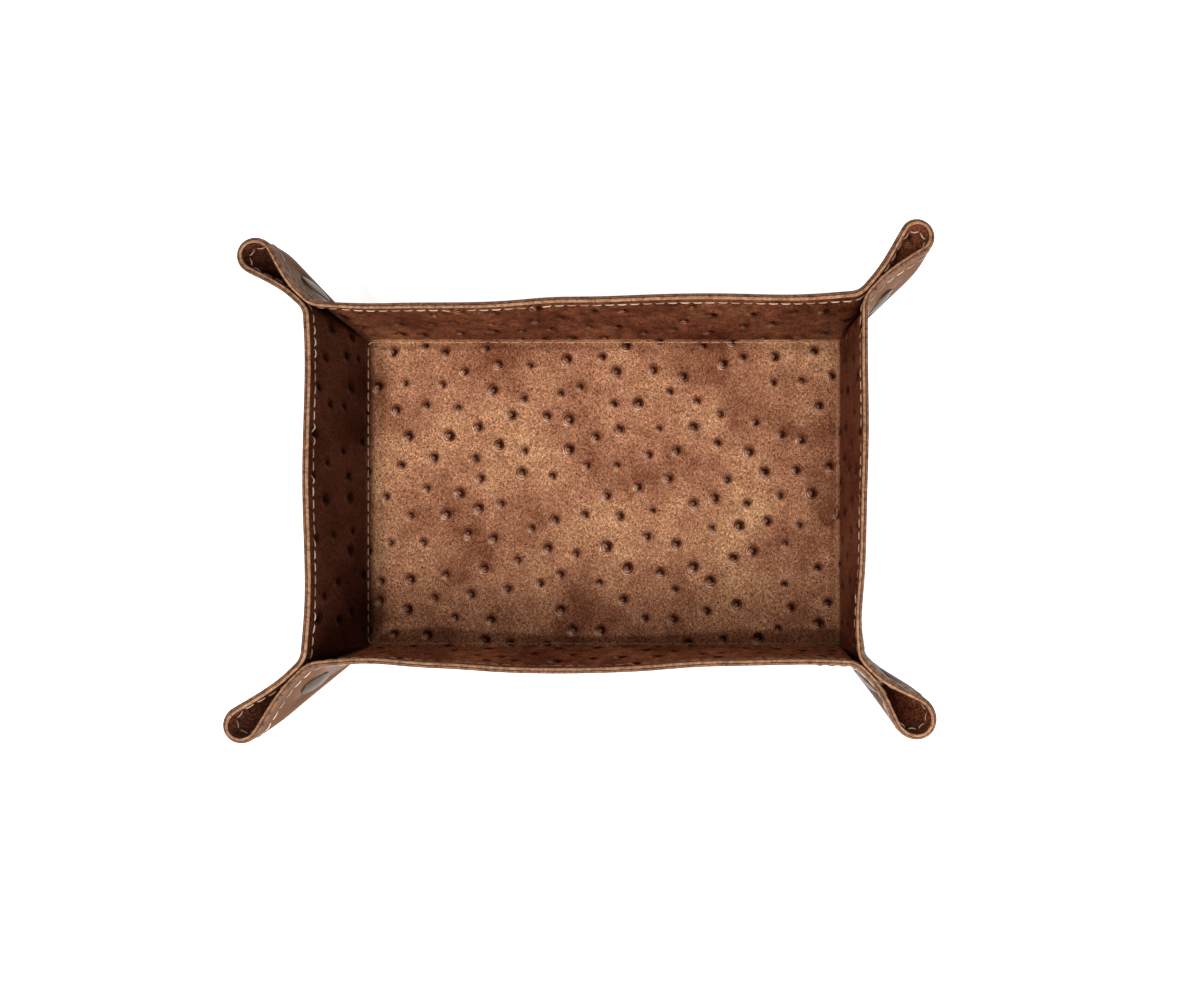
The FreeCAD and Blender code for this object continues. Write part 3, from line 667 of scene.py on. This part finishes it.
# the walls' painted shade darkens everything above
coats = add(tree, "Mix", {SHARE: 1.0, FIRST: coats, SECOND: tone}, **TIMES)
tree.links.new(coats, surface.inputs["Base Color"])
relief = add(tree, "Math", {0: grain, 1: -1.0}, operation="MULTIPLY")
bump = add(tree, "Bump", {"Height": relief, "Distance": 0.2 * MM, "Strength": 0.9})
tree.links.new(bump, surface.inputs["Normal"])
worn = add(tree, "MapRange", {"Value": clouds, FROM_LOW: 0.3, FROM_HIGH: 0.7, TO_LOW: 0.66, TO_HIGH: 0.5})
tree.links.new(worn, surface.inputs["Roughness"])
print("lining leather:", len(tree.nodes), "nodes")

# %% [markdown]
# ## Smooth waxed cowhide: the outer leather
#
# The outside is plain cowhide of a greyer brown. Its grain is finer, about half a
# millimetre, and its wax is smooth, so that it shines a little more than the lining.

# %% Outer leather
outer_leather, tree, surface = new_material(
    "smooth_waxed_cowhide", Roughness=0.45, IOR=1.5, Specular_IOR_Level=0.3, Specular_Tint=linear("#D9A47C")
)
place = add(tree, "UVMap", uv_map="flat")
clouds = add(tree, "TexNoise", {"Vector": place, "Scale": per_mm(30), "Detail": 4.0, "Roughness": 0.6})
hide = add(tree, "Mix", {SHARE: clouds, FIRST: linear("#5E3E2A"), SECOND: linear("#7E583F")}, **COLOURS)
pores = add(tree, "TexVoronoi", {"Vector": place, "Scale": per_mm(0.6)}, feature="DISTANCE_TO_EDGE")
pores = add(tree, "MapRange", {"Value": pores, FROM_LOW: 0.0, FROM_HIGH: 0.2, TO_LOW: 0.78, TO_HIGH: 1.0})
tinted = add(tree, "Mix", {SHARE: 1.0, FIRST: hide, SECOND: pores}, **TIMES)
tree.links.new(tinted, surface.inputs["Base Color"])
bump = add(tree, "Bump", {"Height": pores, "Distance": 0.08 * MM, "Strength": 0.8})
tree.links.new(bump, surface.inputs["Normal"])
print("outer leather:", len(tree.nodes), "nodes")

# %% [markdown]
# ## Cut edges and the glue line
#
# A knife leaves the leather's fibres bare. They are paler than the dyed face, rough, and
# flecked with dark dye and glue. Between the two leathers runs a thin dark line of contact
# cement. From above these three stripes draw the tray's outline, so each gets a material.


# %% Edge materials
def cut_edge(name, pale, stained):
    material, tree, surface = new_material(name, Roughness=0.75, IOR=1.45)
    where = add(tree, "TexCoord", out="Object")
    fibre = add(tree, "TexNoise", {"Vector": where, "Scale": per_mm(1.6), "Detail": 4.0, "Roughness": 0.75})
    flecks = {"Value": fibre, FROM_LOW: 0.38, FROM_HIGH: 0.62, TO_LOW: 0.0, TO_HIGH: 1.0}
    stain = add(tree, "MapRange", flecks)
    colour = add(tree, "Mix", {SHARE: stain, FIRST: linear(pale), SECOND: linear(stained)}, **COLOURS)
    tree.links.new(colour, surface.inputs["Base Color"])
    bump = add(tree, "Bump", {"Height": fibre, "Distance": 0.2 * MM, "Strength": 0.7})
    tree.links.new(bump, surface.inputs["Normal"])
    return material


lining_edge = cut_edge("cut_edge_of_lining", "#C9986F", "#85543A")
outer_edge = cut_edge("cut_edge_of_outer", "#9C6B49", "#4E2E20")
glue = cut_edge("dried_contact_cement", "#3A1B10", "#241009")
print("edge materials:", lining_edge.name, outer_edge.name, glue.name)

# %% [markdown]
# ## From two faces to a closed piece
#
# Each piece of leather is a thin closed shell: two faces and four narrow borders. At the
# floor's corners many points fall together, so those are welded and the faces that vanish
# are dropped. A sharp edge is marked wherever two faces meet steeply, and the rest is
# shaded smooth.


# %% Mesh helpers
def welded(points, faces):
    """Points that fall together made one, and the faces without what vanished."""
    _, first, same = np.unique(np.round(points, 4), axis=0, return_index=True, return_inverse=True)
    same = same.ravel()
    kept = []
    for k, face in enumerate(faces):
        ring = [v for j, v in enumerate(face) if same[v] != same[face[j - 1]]]
        ids = [int(same[v]) for v in ring]
        if len(set(ids)) >= 3 and len(set(ids)) == len(ids):
            kept.append((k, ids))
    return first, kept


def piece(name, points, faces, finishes, finish_of_face, flat=None, quill=None, weights=None):
    """A mesh object from points in millimetres, with its flat places, quill places and weights."""
    first, kept = welded(points, faces)
    mesh = bpy.data.meshes.new(name)
    mesh.from_pydata((points[first] * MM).tolist(), [], [ids for _, ids in kept])
    for finish in finishes:
        mesh.materials.append(finish)
    mesh.polygons.foreach_set("material_index", [finish_of_face[k] for k, _ in kept])
    mesh.polygons.foreach_set("use_smooth", [True] * len(kept))
    if flat is not None:
        corners = np.zeros(len(mesh.loops), int)
        mesh.loops.foreach_get("vertex_index", corners)
        layer = mesh.uv_layers.new(name="flat")
        layer.data.foreach_set("uv", (flat[first][corners] * MM).ravel())
    if quill is not None:
        seen = mesh.attributes.new("quill_place", "FLOAT_VECTOR", "POINT")
        seen.data.foreach_set("vector", quill[first].ravel())
    mesh.set_sharp_from_angle(angle=math.radians(52))
    made = bpy.data.objects.new(name, mesh)
    bpy.context.scene.collection.objects.link(made)
    return made, (None if weights is None else weights[first])


def grid_faces(ids, flipped=False):
    """Quads over a grid of point numbers."""
    quads = np.stack([ids[:-1, :-1], ids[:-1, 1:], ids[1:, 1:], ids[1:, :-1]], -1).reshape(-1, 4)
    return quads[:, ::-1] if flipped else quads


# %% [markdown]
# ## Cutting the band into pieces
#
# The real sheet is whole, but the walls, wings and loops move on different bodies, so the
# band is cut where they meet. The pieces share their cut lines exactly. Where the leather
# bends as the tray opens, a piece lies between two bodies, and each of its points gets a
# share: the wall over its crease, the long wing over the turn, and each half of a loop over
# its own arc. A share by a straight line isn't enough for a curved loop, so each point's
# share is worked out by its column: the share of the bend that lies between it and the first
# body. The shares are made, but such a piece is neither blended nor put on a body: only its
# placement is baked into its mesh.


# %% Leather shells
def leather_shell(name, layer, columns, rows, weight_of):
    """One piece of a leather, from columns and rows of the band."""
    at = np.ix_(rows, columns % COLUMNS)
    if layer == "lining":
        inner, outside = lining_face[at], lining_back[at]
        finishes = [lining_leather, lining_edge, glue]
    else:
        inner, outside = outer_back[at], outer_face[at]
        finishes = [outer_leather, outer_edge, glue]
    n_rows, n_columns = inner.shape[:2]
    ids = np.arange(inner.shape[0] * inner.shape[1]).reshape(n_rows, n_columns)
    far = ids + ids.size
    faces = [grid_faces(ids, True), grid_faces(far)]
    borders = [
        np.stack([ids[-1, :-1], ids[-1, 1:], far[-1, 1:], far[-1, :-1]], -1)[:, ::-1],
        np.stack([ids[0, :-1], ids[0, 1:], far[0, 1:], far[0, :-1]], -1),
        np.stack([ids[:-1, 0], ids[1:, 0], far[1:, 0], far[:-1, 0]], -1)[:, ::-1],
        np.stack([ids[:-1, -1], ids[1:, -1], far[1:, -1], far[:-1, -1]], -1),
    ]
    row_of_quad = np.repeat(np.arange(n_rows - 1), n_columns - 1)
    cut = row_of_quad >= n_rows - EDGE_ROWS
    at_glue, at_face = (1, 2) if layer == "lining" else (2, 1)
    finish = np.concatenate([
        np.where(cut, at_glue, 0),
        np.where(cut, at_face, 0),
        np.full(n_columns - 1, 1),
        np.full(n_columns - 1, 2),
        np.full(2 * (n_rows - 1), 2),
    ])
    points = np.concatenate([inner.reshape(-1, 3), outside.reshape(-1, 3)])
    flat = np.concatenate([flat_band[at].reshape(-1, 2)] * 2)
    seen = np.tile(quill_seen[at].reshape(-1, 3), (2, 1))
    weights = np.concatenate([weight_of(ROWS[rows][:, None], columns[None]).ravel()] * 2)
    quads = np.concatenate(faces + borders).tolist()
    return piece(name, points, quads, finishes, finish.tolist(), flat, seen, weights)


# %% A piece between two bodies: its placement baked, not bent
def bend(made, weights, first, second):
    """Bakes a piece's placement into its mesh; the shares and the two bodies are not used."""
    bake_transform(made)
    return made


# %% [markdown]
# ## Stitches
#
# The seams are sewn by machine with thick waxed thread, about 4.9 mm a stitch. Each stitch
# dives into its holes and stands a little proud between them. On the inside of a loop the
# leather is bent tight, so the thread has length to spare and hangs in small scallops. All
# this shows at the rim, so every stitch is a small swept tube that follows the band. Down at
# the floor the thread has taken up brown wax, so its colour changes with height.

# %% Waxed thread
thread, tree, surface = new_material("waxed_polyester_thread", Roughness=0.55, IOR=1.5)
where = add(tree, "TexCoord", out="Object")
# a wave's crests are 0.63 of its scale apart: the wax changes every few stitches
uneven = {"Vector": where, "Scale": per_mm(44), "Distortion": 3.0}
tone = add(tree, "TexWave", uneven, out="Fac", bands_direction="DIAGONAL")
plain = add(tree, "Mix", {SHARE: tone, FIRST: linear("#9C7B61"), SECOND: linear("#DAC1A6")}, **COLOURS)
height = add(tree, "SeparateXYZ", {"Vector": where}, out="Z")
low = {"Value": height, FROM_LOW: 4 * MM, FROM_HIGH: 30 * MM, TO_LOW: 1.0, TO_HIGH: 0.0}
browned = {SHARE: add(tree, "MapRange", low), FIRST: plain, SECOND: linear("#BC8D66")}
tree.links.new(add(tree, "Mix", browned, **COLOURS), surface.inputs["Base Color"])
bump = add(tree, "Bump", {"Height": tone, "Distance": 0.1 * MM, "Strength": 0.8})
tree.links.new(bump, surface.inputs["Normal"])
print("thread:", thread.name)

# %% Tubes for stitches
STITCH, THREAD = 4.9, 0.25  # pitch and the thread's radius
SHOWS = STITCH * 0.76  # a stitch between its holes
SCALLOP, LEAST_SLACK = 0.9, 0.3  # what a bent seam's spare thread gives, and the least that shows
RING, SAMPLES = 7, 7  # points round a stitch and along it


def stitch_mesh(path, outward, spare):
    """Tubes along paths of shape (stitches, SAMPLES, 3), standing proud along outward."""
    t = np.linspace(-1, 1, SAMPLES)
    # the middle stands three quarters of a radius out of the leather, and the ends dive in
    proud = THREAD * (0.75 - 1.35 * t**4) + spare[:, None] * (1 - t**2)
    centre = path + outward * proud[..., None]
    along = unit(np.gradient(centre, axis=1))
    side = unit(np.cross(along, outward))
    up = np.cross(side, along)
    radius = THREAD * (1 - 0.45 * t**6)
    turn = np.linspace(0, 2 * math.pi, RING, endpoint=False)
    spoke = side[:, :, None] * np.cos(turn)[:, None] + up[:, :, None] * np.sin(turn)[:, None]
    points = centre[:, :, None] + spoke * radius[:, None, None]
    number = np.arange(points[..., 0].size).reshape(points.shape[:3])
    here, after = number[:, :-1], number[:, 1:]
    sides = np.stack([here, np.roll(here, -1, 2), np.roll(after, -1, 2), after], -1).reshape(-1, 4)
    ends = number[:, 0, ::-1].tolist() + number[:, -1].tolist()
    return points.reshape(-1, 3), sides[:, ::-1].tolist() + [e[::-1] for e in ends]


seam_row = int(np.argmin(np.abs(ROWS - RIM_SEAM)))
seam_line = glue_line[seam_row]
seam_steps = np.linalg.norm(np.diff(seam_line, axis=0, append=seam_line[:1]), axis=1)
seam_run = np.append(0, np.cumsum(seam_steps))
stitch_count = int(round(seam_run[-1] / STITCH))
stitch_run = (np.arange(stitch_count) + 0.5) * seam_run[-1] / stitch_count
stitch_column = np.interp(stitch_run, seam_run, np.arange(COLUMNS + 1))
print("rim seam:", round(seam_run[-1]), "mm,", stitch_count, "stitches")


def along_seam(values, columns):
    """Values of the seam's row at fractional columns."""
    low = np.floor(columns).astype(int)
    part = (columns - low)[..., None]
    row = values[seam_row]
    return row[low % COLUMNS] * (1 - part) + row[(low + 1) % COLUMNS] * part


def rim_stitches(name, first, last, weight_of):
    """The stitches between two columns, on both faces of the rim."""
    centre = stitch_column[None] + np.array([-COLUMNS, 0, COLUMNS])[:, None]
    chosen = centre[(centre >= first) & (centre < last)]
    at_run = np.interp(chosen % COLUMNS, np.arange(COLUMNS + 1), seam_run)
    half = np.linspace(-0.5, 0.5, SAMPLES) * SHOWS
    spots = np.interp((at_run[:, None] + half) % seam_run[-1], seam_run, np.arange(COLUMNS + 1))
    spots += np.round((chosen[:, None] - spots) / COLUMNS) * COLUMNS
    outward = unit(along_seam(normals, spots))
    points, faces, weights = [], [], []
    for face, sign in ((lining_face, -1), (outer_face, 1)):
        path = along_seam(face, spots)
        length = np.linalg.norm(path[:, -1] - path[:, 0], axis=1)
        slack = SCALLOP * np.sqrt(np.clip(1 - (length / SHOWS) ** 2, 0, 0.6))
        made, rings = stitch_mesh(path, outward * sign, np.where(slack > LEAST_SLACK, slack, 0))
        before = sum(len(p) for p in points)
        faces += [[v + before for v in ring] for ring in rings]
        points.append(made)
        weights.append(np.repeat(weight_of(RIM_SEAM, spots).ravel(), RING))
    points, weights = np.concatenate(points), np.concatenate(weights)
    return piece(name, points, faces, [thread], [0] * len(faces), weights=weights)


# %% [markdown]
# Now the band is cut. The front and back walls are the long ones, and their wings carry the
# turn. The short walls keep half of each turn, because the CAD's joints open the corner
# between the short wing and the short wall.

# %% Leather pieces and their rim seams
all_rows = np.arange(len(ROWS))
outer_rows = np.append(all_rows[:-EDGE_ROWS:2], all_rows[-EDGE_ROWS:])
HALF_TURN = TURN // 2


def over_crease(p, column):
    return smooth(0, CREASE_RUN, p) + 0 * column


def dress(part, first, last, nodes, bodies, weight_of, seam_nodes=()):
    """Builds the lining, the outer leather and the seam of a part, and puts them on their body if the part
    has only one.
    """
    for layer, step, rows in (("lining", 1, all_rows), ("outer", 2, outer_rows)):
        columns = np.arange(first, last + 1, step)
        made, weights = leather_shell(f"{layer}_{part}", layer, columns, rows, weight_of)
        settle(made, weights, bodies)
        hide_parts(*[f"{layer}_{node}" for node in nodes])
    made, weights = rim_stitches(f"stitches_{part}", first, last, weight_of)
    settle(made, weights * 0 + 1 if part in SIDES else weights, bodies)
    if seam_nodes:
        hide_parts(*seam_nodes)


def settle(made, weights, bodies):
    """Lets a piece ride on its body; a piece with two bodies only has its placement baked."""
    if len(bodies) == 2:
        bend(made, weights, *bodies)
    else:
        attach(made, bodies[0])


for side in SIDES:
    extra = 0 if side in ("front", "back") else HALF_TURN
    first, last = wall_start[side] - extra, wall_start[side] + WALL_STEPS[side] + extra
    wall = f"wall_{side}"
    dress(side, first, last, [wall], ["floor", wall], over_crease, [f"rim_seam_{side}"])
print("walls dressed:", SIDES)

# %% Corners
for k, (side, corner) in enumerate(corner_after.items()):
    start, tip = corner_start[corner], corner_start[corner] + HALF_STEPS
    end = tip + HALF_STEPS
    long_first = side in ("front", "back")
    long_wall = side if long_first else SIDES[(k + 1) % 4]
    long_wing, short_wing, loop_body = f"wing_{corner}_long", f"wing_{corner}_short", f"loop_{corner}"
    from_end, way = (start, 1) if long_first else (end, -1)

    def over_turn(p, column, a=from_end, way=way):
        return smooth(0, TURN, way * (column - a)) + 0 * p

    def over_first_arc(p, column, a=from_end, way=way):
        return np.clip((way * (column - a) - WING_STEPS) / LOOP, 0, 1) + 0 * p

    def over_second_arc(p, column, a=from_end, way=way):
        return np.clip((way * (column - a) - HALF_STEPS) / LOOP, 0, 1) + 0 * p

    wing_end, wing_back = start + WING_STEPS, end - WING_STEPS
    if long_first:
        spans = (start, wing_end), (wing_end, tip), (tip, wing_back), (wing_back, end - HALF_TURN)
    else:
        spans = (wing_back, end), (tip, wing_back), (wing_end, tip), (start + HALF_TURN, wing_end)
    dress(f"{corner}_long_wing", *spans[0], [long_wing], [f"wall_{long_wall}", long_wing], over_turn)
    dress(f"{corner}_loop_a", *spans[1], [loop_body], [long_wing, loop_body], over_first_arc)
    dress(f"{corner}_loop_b", *spans[2], [loop_body], [loop_body, short_wing], over_second_arc)
    dress(f"{corner}_short_wing", *spans[3], [short_wing], [short_wing], over_second_arc)
print("corners dressed:", list(corner_start))

# %% [markdown]
# ## The floor
#
# The floor is lining glued over a stiff board, with a seam right at the foot of the walls.
# The board lifts the lining by its own thickness, so inside the seam the floor rises in a
# soft slope. The lining is a fine grid with the emboss, and its underside is built from a
# few rings round the board's space.

# %% Floor lining
SEAM_INSET = 0.7  # from the floor's edge
STEP_FROM, STEP_TO = 1.2, 5.0
BOARD_INSET, BOARD = 3.4, 1.0
UNEVEN = 0.35  # the floor isn't quite flat
nx, ny = 376, 243  # about half a millimetre a step


def floor_grid():
    x = np.linspace(-FLOOR_HALF[0], FLOOR_HALF[0], nx)
    y = np.linspace(-FLOOR_HALF[1], FLOOR_HALF[1], ny)
    flat = np.stack(np.meshgrid(x, y), -1)
    inset = np.minimum(FLOOR_HALF[0] - np.abs(flat[..., 0]), FLOOR_HALF[1] - np.abs(flat[..., 1]))
    height, seen = emboss(flat)
    z = 2 * LEATHER + BOARD * smooth(STEP_FROM, STEP_TO, inset)
    z += height - 0.2 * np.exp(-(((inset - SEAM_INSET) / 0.6) ** 2))
    waves = np.sin(flat[..., 0] / 31 + 0.6) * np.sin(flat[..., 1] / 23 + 1.1)
    z += UNEVEN * waves * smooth(4, 20, inset)
    return flat, np.dstack([flat, z]), seen


def border_of(grid):
    """The points round a grid, anticlockwise."""
    return np.concatenate([grid[0, :-1], grid[:-1, -1], grid[-1, :0:-1], grid[:0:-1, 0]])


def stacked_rings(rings, number):
    """Quads between rings of equal count, the last closed by one flat face."""
    faces = []
    for k in range(len(rings) - 1):
        a, b = number[k], number[k + 1]
        faces += np.stack([a, b, np.roll(b, -1), np.roll(a, -1)], -1).tolist()
    return faces + [number[-1][::-1].tolist()]


flat, top, floor_seen = floor_grid()
ids = np.arange(nx * ny).reshape(ny, nx)
edge = border_of(top)
edge_ids = border_of(ids)


def inward(distance, z):
    """The floor's border moved in, at height z."""
    share = (FLOOR_HALF - distance) / FLOOR_HALF
    return np.column_stack([edge[:, :2] * share, np.full(len(edge), z)])


glued = LEATHER + GLUE_GAP
lower = [inward(0, glued), inward(BOARD_INSET, glued), inward(BOARD_INSET, glued + BOARD)]
numbers = [edge_ids] + [ids.size + len(edge) * k + np.arange(len(edge)) for k in range(len(lower))]
points = np.concatenate([top.reshape(-1, 3)] + lower)
faces = grid_faces(ids).tolist() + stacked_rings([edge] + lower, numbers)
finish = [0] * ((nx - 1) * (ny - 1)) + [2] * (len(faces) - (nx - 1) * (ny - 1))
flat_all = np.concatenate([flat.reshape(-1, 2)] + [r[:, :2] for r in lower])
floor_seen = np.concatenate([floor_seen.reshape(-1, 3), np.zeros((len(points) - ids.size, 3))])
finishes = [lining_leather, lining_edge, glue]
made, _ = piece("lining_floor_embossed", points, faces, finishes, finish, flat_all, floor_seen)
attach(made, "floor")
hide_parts("lining_floor")
print("floor lining:", len(made.data.vertices), "points")

# %% [markdown]
# The outer leather under the floor is plain. It has a shallow channel for the seam's under
# thread, and is closed the same way, with rings.

# %% Outer floor
upper = [inward(0, LEATHER - GLUE_GAP), inward(20, LEATHER - GLUE_GAP)]
under = [
    inward(0, 0), inward(SEAM_INSET - 0.7, 0), inward(SEAM_INSET - 0.2, 0.3),
    inward(SEAM_INSET + 0.2, 0.3), inward(SEAM_INSET + 0.7, 0), inward(12, 0), inward(40, 0),
]
rings = upper[::-1] + under
numbers = [len(edge) * k + np.arange(len(edge)) for k in range(len(rings))]
faces = [numbers[0].tolist()] + stacked_rings(rings, numbers)
finish = [2] + [2] * len(edge) + [0] * (len(faces) - 1 - len(edge))
points = np.concatenate(rings)
finishes = [outer_leather, outer_edge, glue]
made, _ = piece("outer_floor_plain", points, faces, finishes, finish, points[:, :2])
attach(made, "floor")
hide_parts("outer_floor")
print("outer floor:", len(made.data.vertices), "points")

# %% Floor seam
seam_half = FLOOR_HALF - SEAM_INSET
corner_round = 2.0


def floor_seam(height, sign):
    """Stitches round the floor at one height, standing proud up or down."""
    straight = 2 * (seam_half - corner_round)
    perimeter = 2 * straight.sum() + 2 * math.pi * corner_round
    count = int(round(perimeter / STITCH))
    middles = (np.arange(count) + 0.5) * perimeter / count
    run = middles[:, None] + np.linspace(-0.5, 0.5, SAMPLES) * SHOWS
    plan = rectangle_at(run % perimeter, straight, perimeter)
    path = np.dstack([plan, np.full(plan.shape[:2], height)])
    outward = np.zeros_like(path)
    outward[..., 2] = sign
    return stitch_mesh(path, outward, np.zeros(count))


def rectangle_at(run, straight, perimeter):
    """Places along a rectangle with rounded corners."""
    arc = math.pi / 2 * corner_round
    knots, places, total = [0.0], [], 0.0
    centres = [(1, -1, -90), (1, 1, 0), (-1, 1, 90), (-1, -1, 180)]
    places.append((-seam_half[0] + corner_round, -seam_half[1]))
    for k, (sx, sy, start) in enumerate(centres):
        total += straight[k % 2]
        centre = np.array([sx, sy]) * (seam_half - corner_round)
        for step in range(9):
            angle = math.radians(start + step * 90 / 8)
            places.append(tuple(centre + corner_round * np.array([math.cos(angle), math.sin(angle)])))
            knots.append(total + arc * step / 8)
        total += arc
    knots.append(total)
    places.append(places[0])
    places = np.array(places)
    return np.stack([np.interp(run, knots, places[:, k]) for k in (0, 1)], -1)


top_points, top_faces = floor_seam(2 * LEATHER - 0.12, 1)
low_points, low_faces = floor_seam(0.5, -1)
faces = top_faces + [[v + len(top_points) for v in face] for face in low_faces]
points = np.concatenate([top_points, low_points])
made, _ = piece("stitches_floor", points, faces, [thread], [0] * len(faces))
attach(made, "floor")
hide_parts("base_seam_thread")
print("floor seam stitches:", len(top_faces) // (SAMPLES * RING - RING + 2))

# %% [markdown]
# ## Antiqued nickel: the snaps
#
# The snaps are pressed brass, nickel plated and then darkened in a bath and tumbled, which
# leaves the edges brighter than the hollows. To the eye that is a dull, dark, slightly warm
# grey with fine scratches. Their shapes are the CAD's own, so only the material is new.

# %% Snap metal
snap_metal, tree, surface = new_material("antiqued_nickel_plate", Metallic=1.0)
where = add(tree, "TexCoord", out="Object")
stain = add(tree, "TexNoise", {"Vector": where, "Scale": per_mm(2.5), "Detail": 4.0, "Roughness": 0.7})
metal = add(tree, "Mix", {SHARE: stain, FIRST: linear("#30261E"), SECOND: linear("#5E4E41")}, **COLOURS)
tree.links.new(metal, surface.inputs["Base Color"])
rub = add(tree, "TexNoise", {"Vector": where, "Scale": per_mm(0.5), "Detail": 3.0})
sheen = add(tree, "MapRange", {"Value": rub, FROM_LOW: 0.3, FROM_HIGH: 0.7, TO_LOW: 0.28, TO_HIGH: 0.5})
tree.links.new(sheen, surface.inputs["Roughness"])
bump = add(tree, "Bump", {"Height": rub, "Distance": 0.03 * MM, "Strength": 0.6})
tree.links.new(bump, surface.inputs["Normal"])
print("snap metal:", len(tree.nodes), "nodes")

# %% [markdown]
# The board in the floor is bonded leather fibre, grey-brown and flecked. It is hidden, and
# gets its material for the sake of a view that cuts the tray open.

# %% Board
fibre_board, tree, surface = new_material("bonded_leather_board", Roughness=0.8, IOR=1.45)
where = add(tree, "TexCoord", out="Object")
flecks = add(tree, "TexNoise", {"Vector": where, "Scale": per_mm(1.2), "Detail": 5.0, "Roughness": 0.8})
fibres = add(tree, "Mix", {SHARE: flecks, FIRST: linear("#4B3A2E"), SECOND: linear("#8B735E")}, **COLOURS)
tree.links.new(fibres, surface.inputs["Base Color"])

for name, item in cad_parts.items():
    if name.startswith("snap_") or name == "base_stiffener":
        finish, slot = (fibre_board, "board") if name == "base_stiffener" else (snap_metal, "snap_metal")
        item.data.materials.clear()
        item.data.materials.append(finish)
print("CAD nodes kept and finished:", sum(not o.hide_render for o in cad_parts.values()))

# %% [markdown]
# ## Light and ground
#
# The photograph's light comes from a broad window in front of the tray and above it, so the
# front and side walls keep some of it off the floor beside them. The room adds an even soft
# light, and a weak ceiling lamp draws the holes a little sharper. The ground is white to the
# camera and to mirrored rays, and still takes the tray's shadow.

# %% Ground
ground_mesh = bpy.data.meshes.new("ground")
half = 3.0
corners = [(-half, -half, 0), (half, -half, 0), (half, half, 0), (-half, half, 0)]
ground_mesh.from_pydata(corners, [], [(0, 1, 2, 3)])
ground = bpy.data.objects.new("ground", ground_mesh)
bpy.context.scene.collection.objects.link(ground)
white_ground, tree, surface = new_material("white_card", Roughness=0.9)
surface.inputs["Base Color"].default_value = linear("#EBEBEB")
surface.inputs["Emission Color"].default_value = (1, 1, 1, 1)


def background_rays(tree):
    """1 for the rays that should meet a white background, and 0 for those that carry light."""
    path = add(tree, "LightPath").node.outputs
    seen = path["Is Camera Ray"]
    for ray in ("Is Glossy Ray", "Is Transmission Ray"):
        seen = add(tree, "Math", {0: seen, 1: path[ray]}, operation="MAXIMUM")
    return seen


lit = add(tree, "Math", {0: background_rays(tree), 1: 0.8}, operation="MULTIPLY")
tree.links.new(lit, surface.inputs["Emission Strength"])
ground_mesh.materials.append(white_ground)

# %% World and lamp
world = bpy.data.worlds.new("soft_room")
bpy.context.scene.world = world
world.use_nodes = True
tree = world.node_tree
room = tree.nodes["Background"]
room.inputs["Color"].default_value = (1, 1, 1, 1)
ROOM, WHITE = 0.24, 1.0  # what lights the tray, and what the camera sees
levels = {SHARE: background_rays(tree), FIRST_VALUE: ROOM, SECOND_VALUE: WHITE}
tree.links.new(add(tree, "Mix", levels, data_type="FLOAT"), room.inputs["Strength"])


def aim(thing, place, target):
    """Puts a thing at a place, looking at a target, both in millimetres, its top towards the back."""
    back = unit(np.array(place, float) - np.array(target, float))
    side = unit(np.cross((0, 1, 0), back))
    turn = np.stack([side, np.cross(back, side), back], 1)
    thing.location = np.array(place) * MM
    thing.rotation_euler = Matrix(turn.tolist()).to_euler()


def lamp(name, kind, place, target, **settings):
    """A lamp at a place, aimed at a target, with its settings."""
    made = bpy.data.objects.new(name, bpy.data.lights.new(name, kind))
    bpy.context.scene.collection.objects.link(made)
    for setting, value in settings.items():
        setattr(made.data, setting, value)
    aim(made, place, target)
    return made


pane = {"shape": "RECTANGLE", "size": 2.0, "size_y": 0.91}
window = lamp("window", "AREA", (262, -807, 661), (-10, 0, 0), energy=18.8, **pane)
ceiling = lamp("ceiling_lamp", "SUN", (-300, -220, 1000), (0, 0, 0), energy=0.5, angle=math.radians(3))
bpy.context.scene.view_settings.view_transform = "Standard"
print("lamps:", window.data.energy, "W and", ceiling.data.energy, "W per square metre")
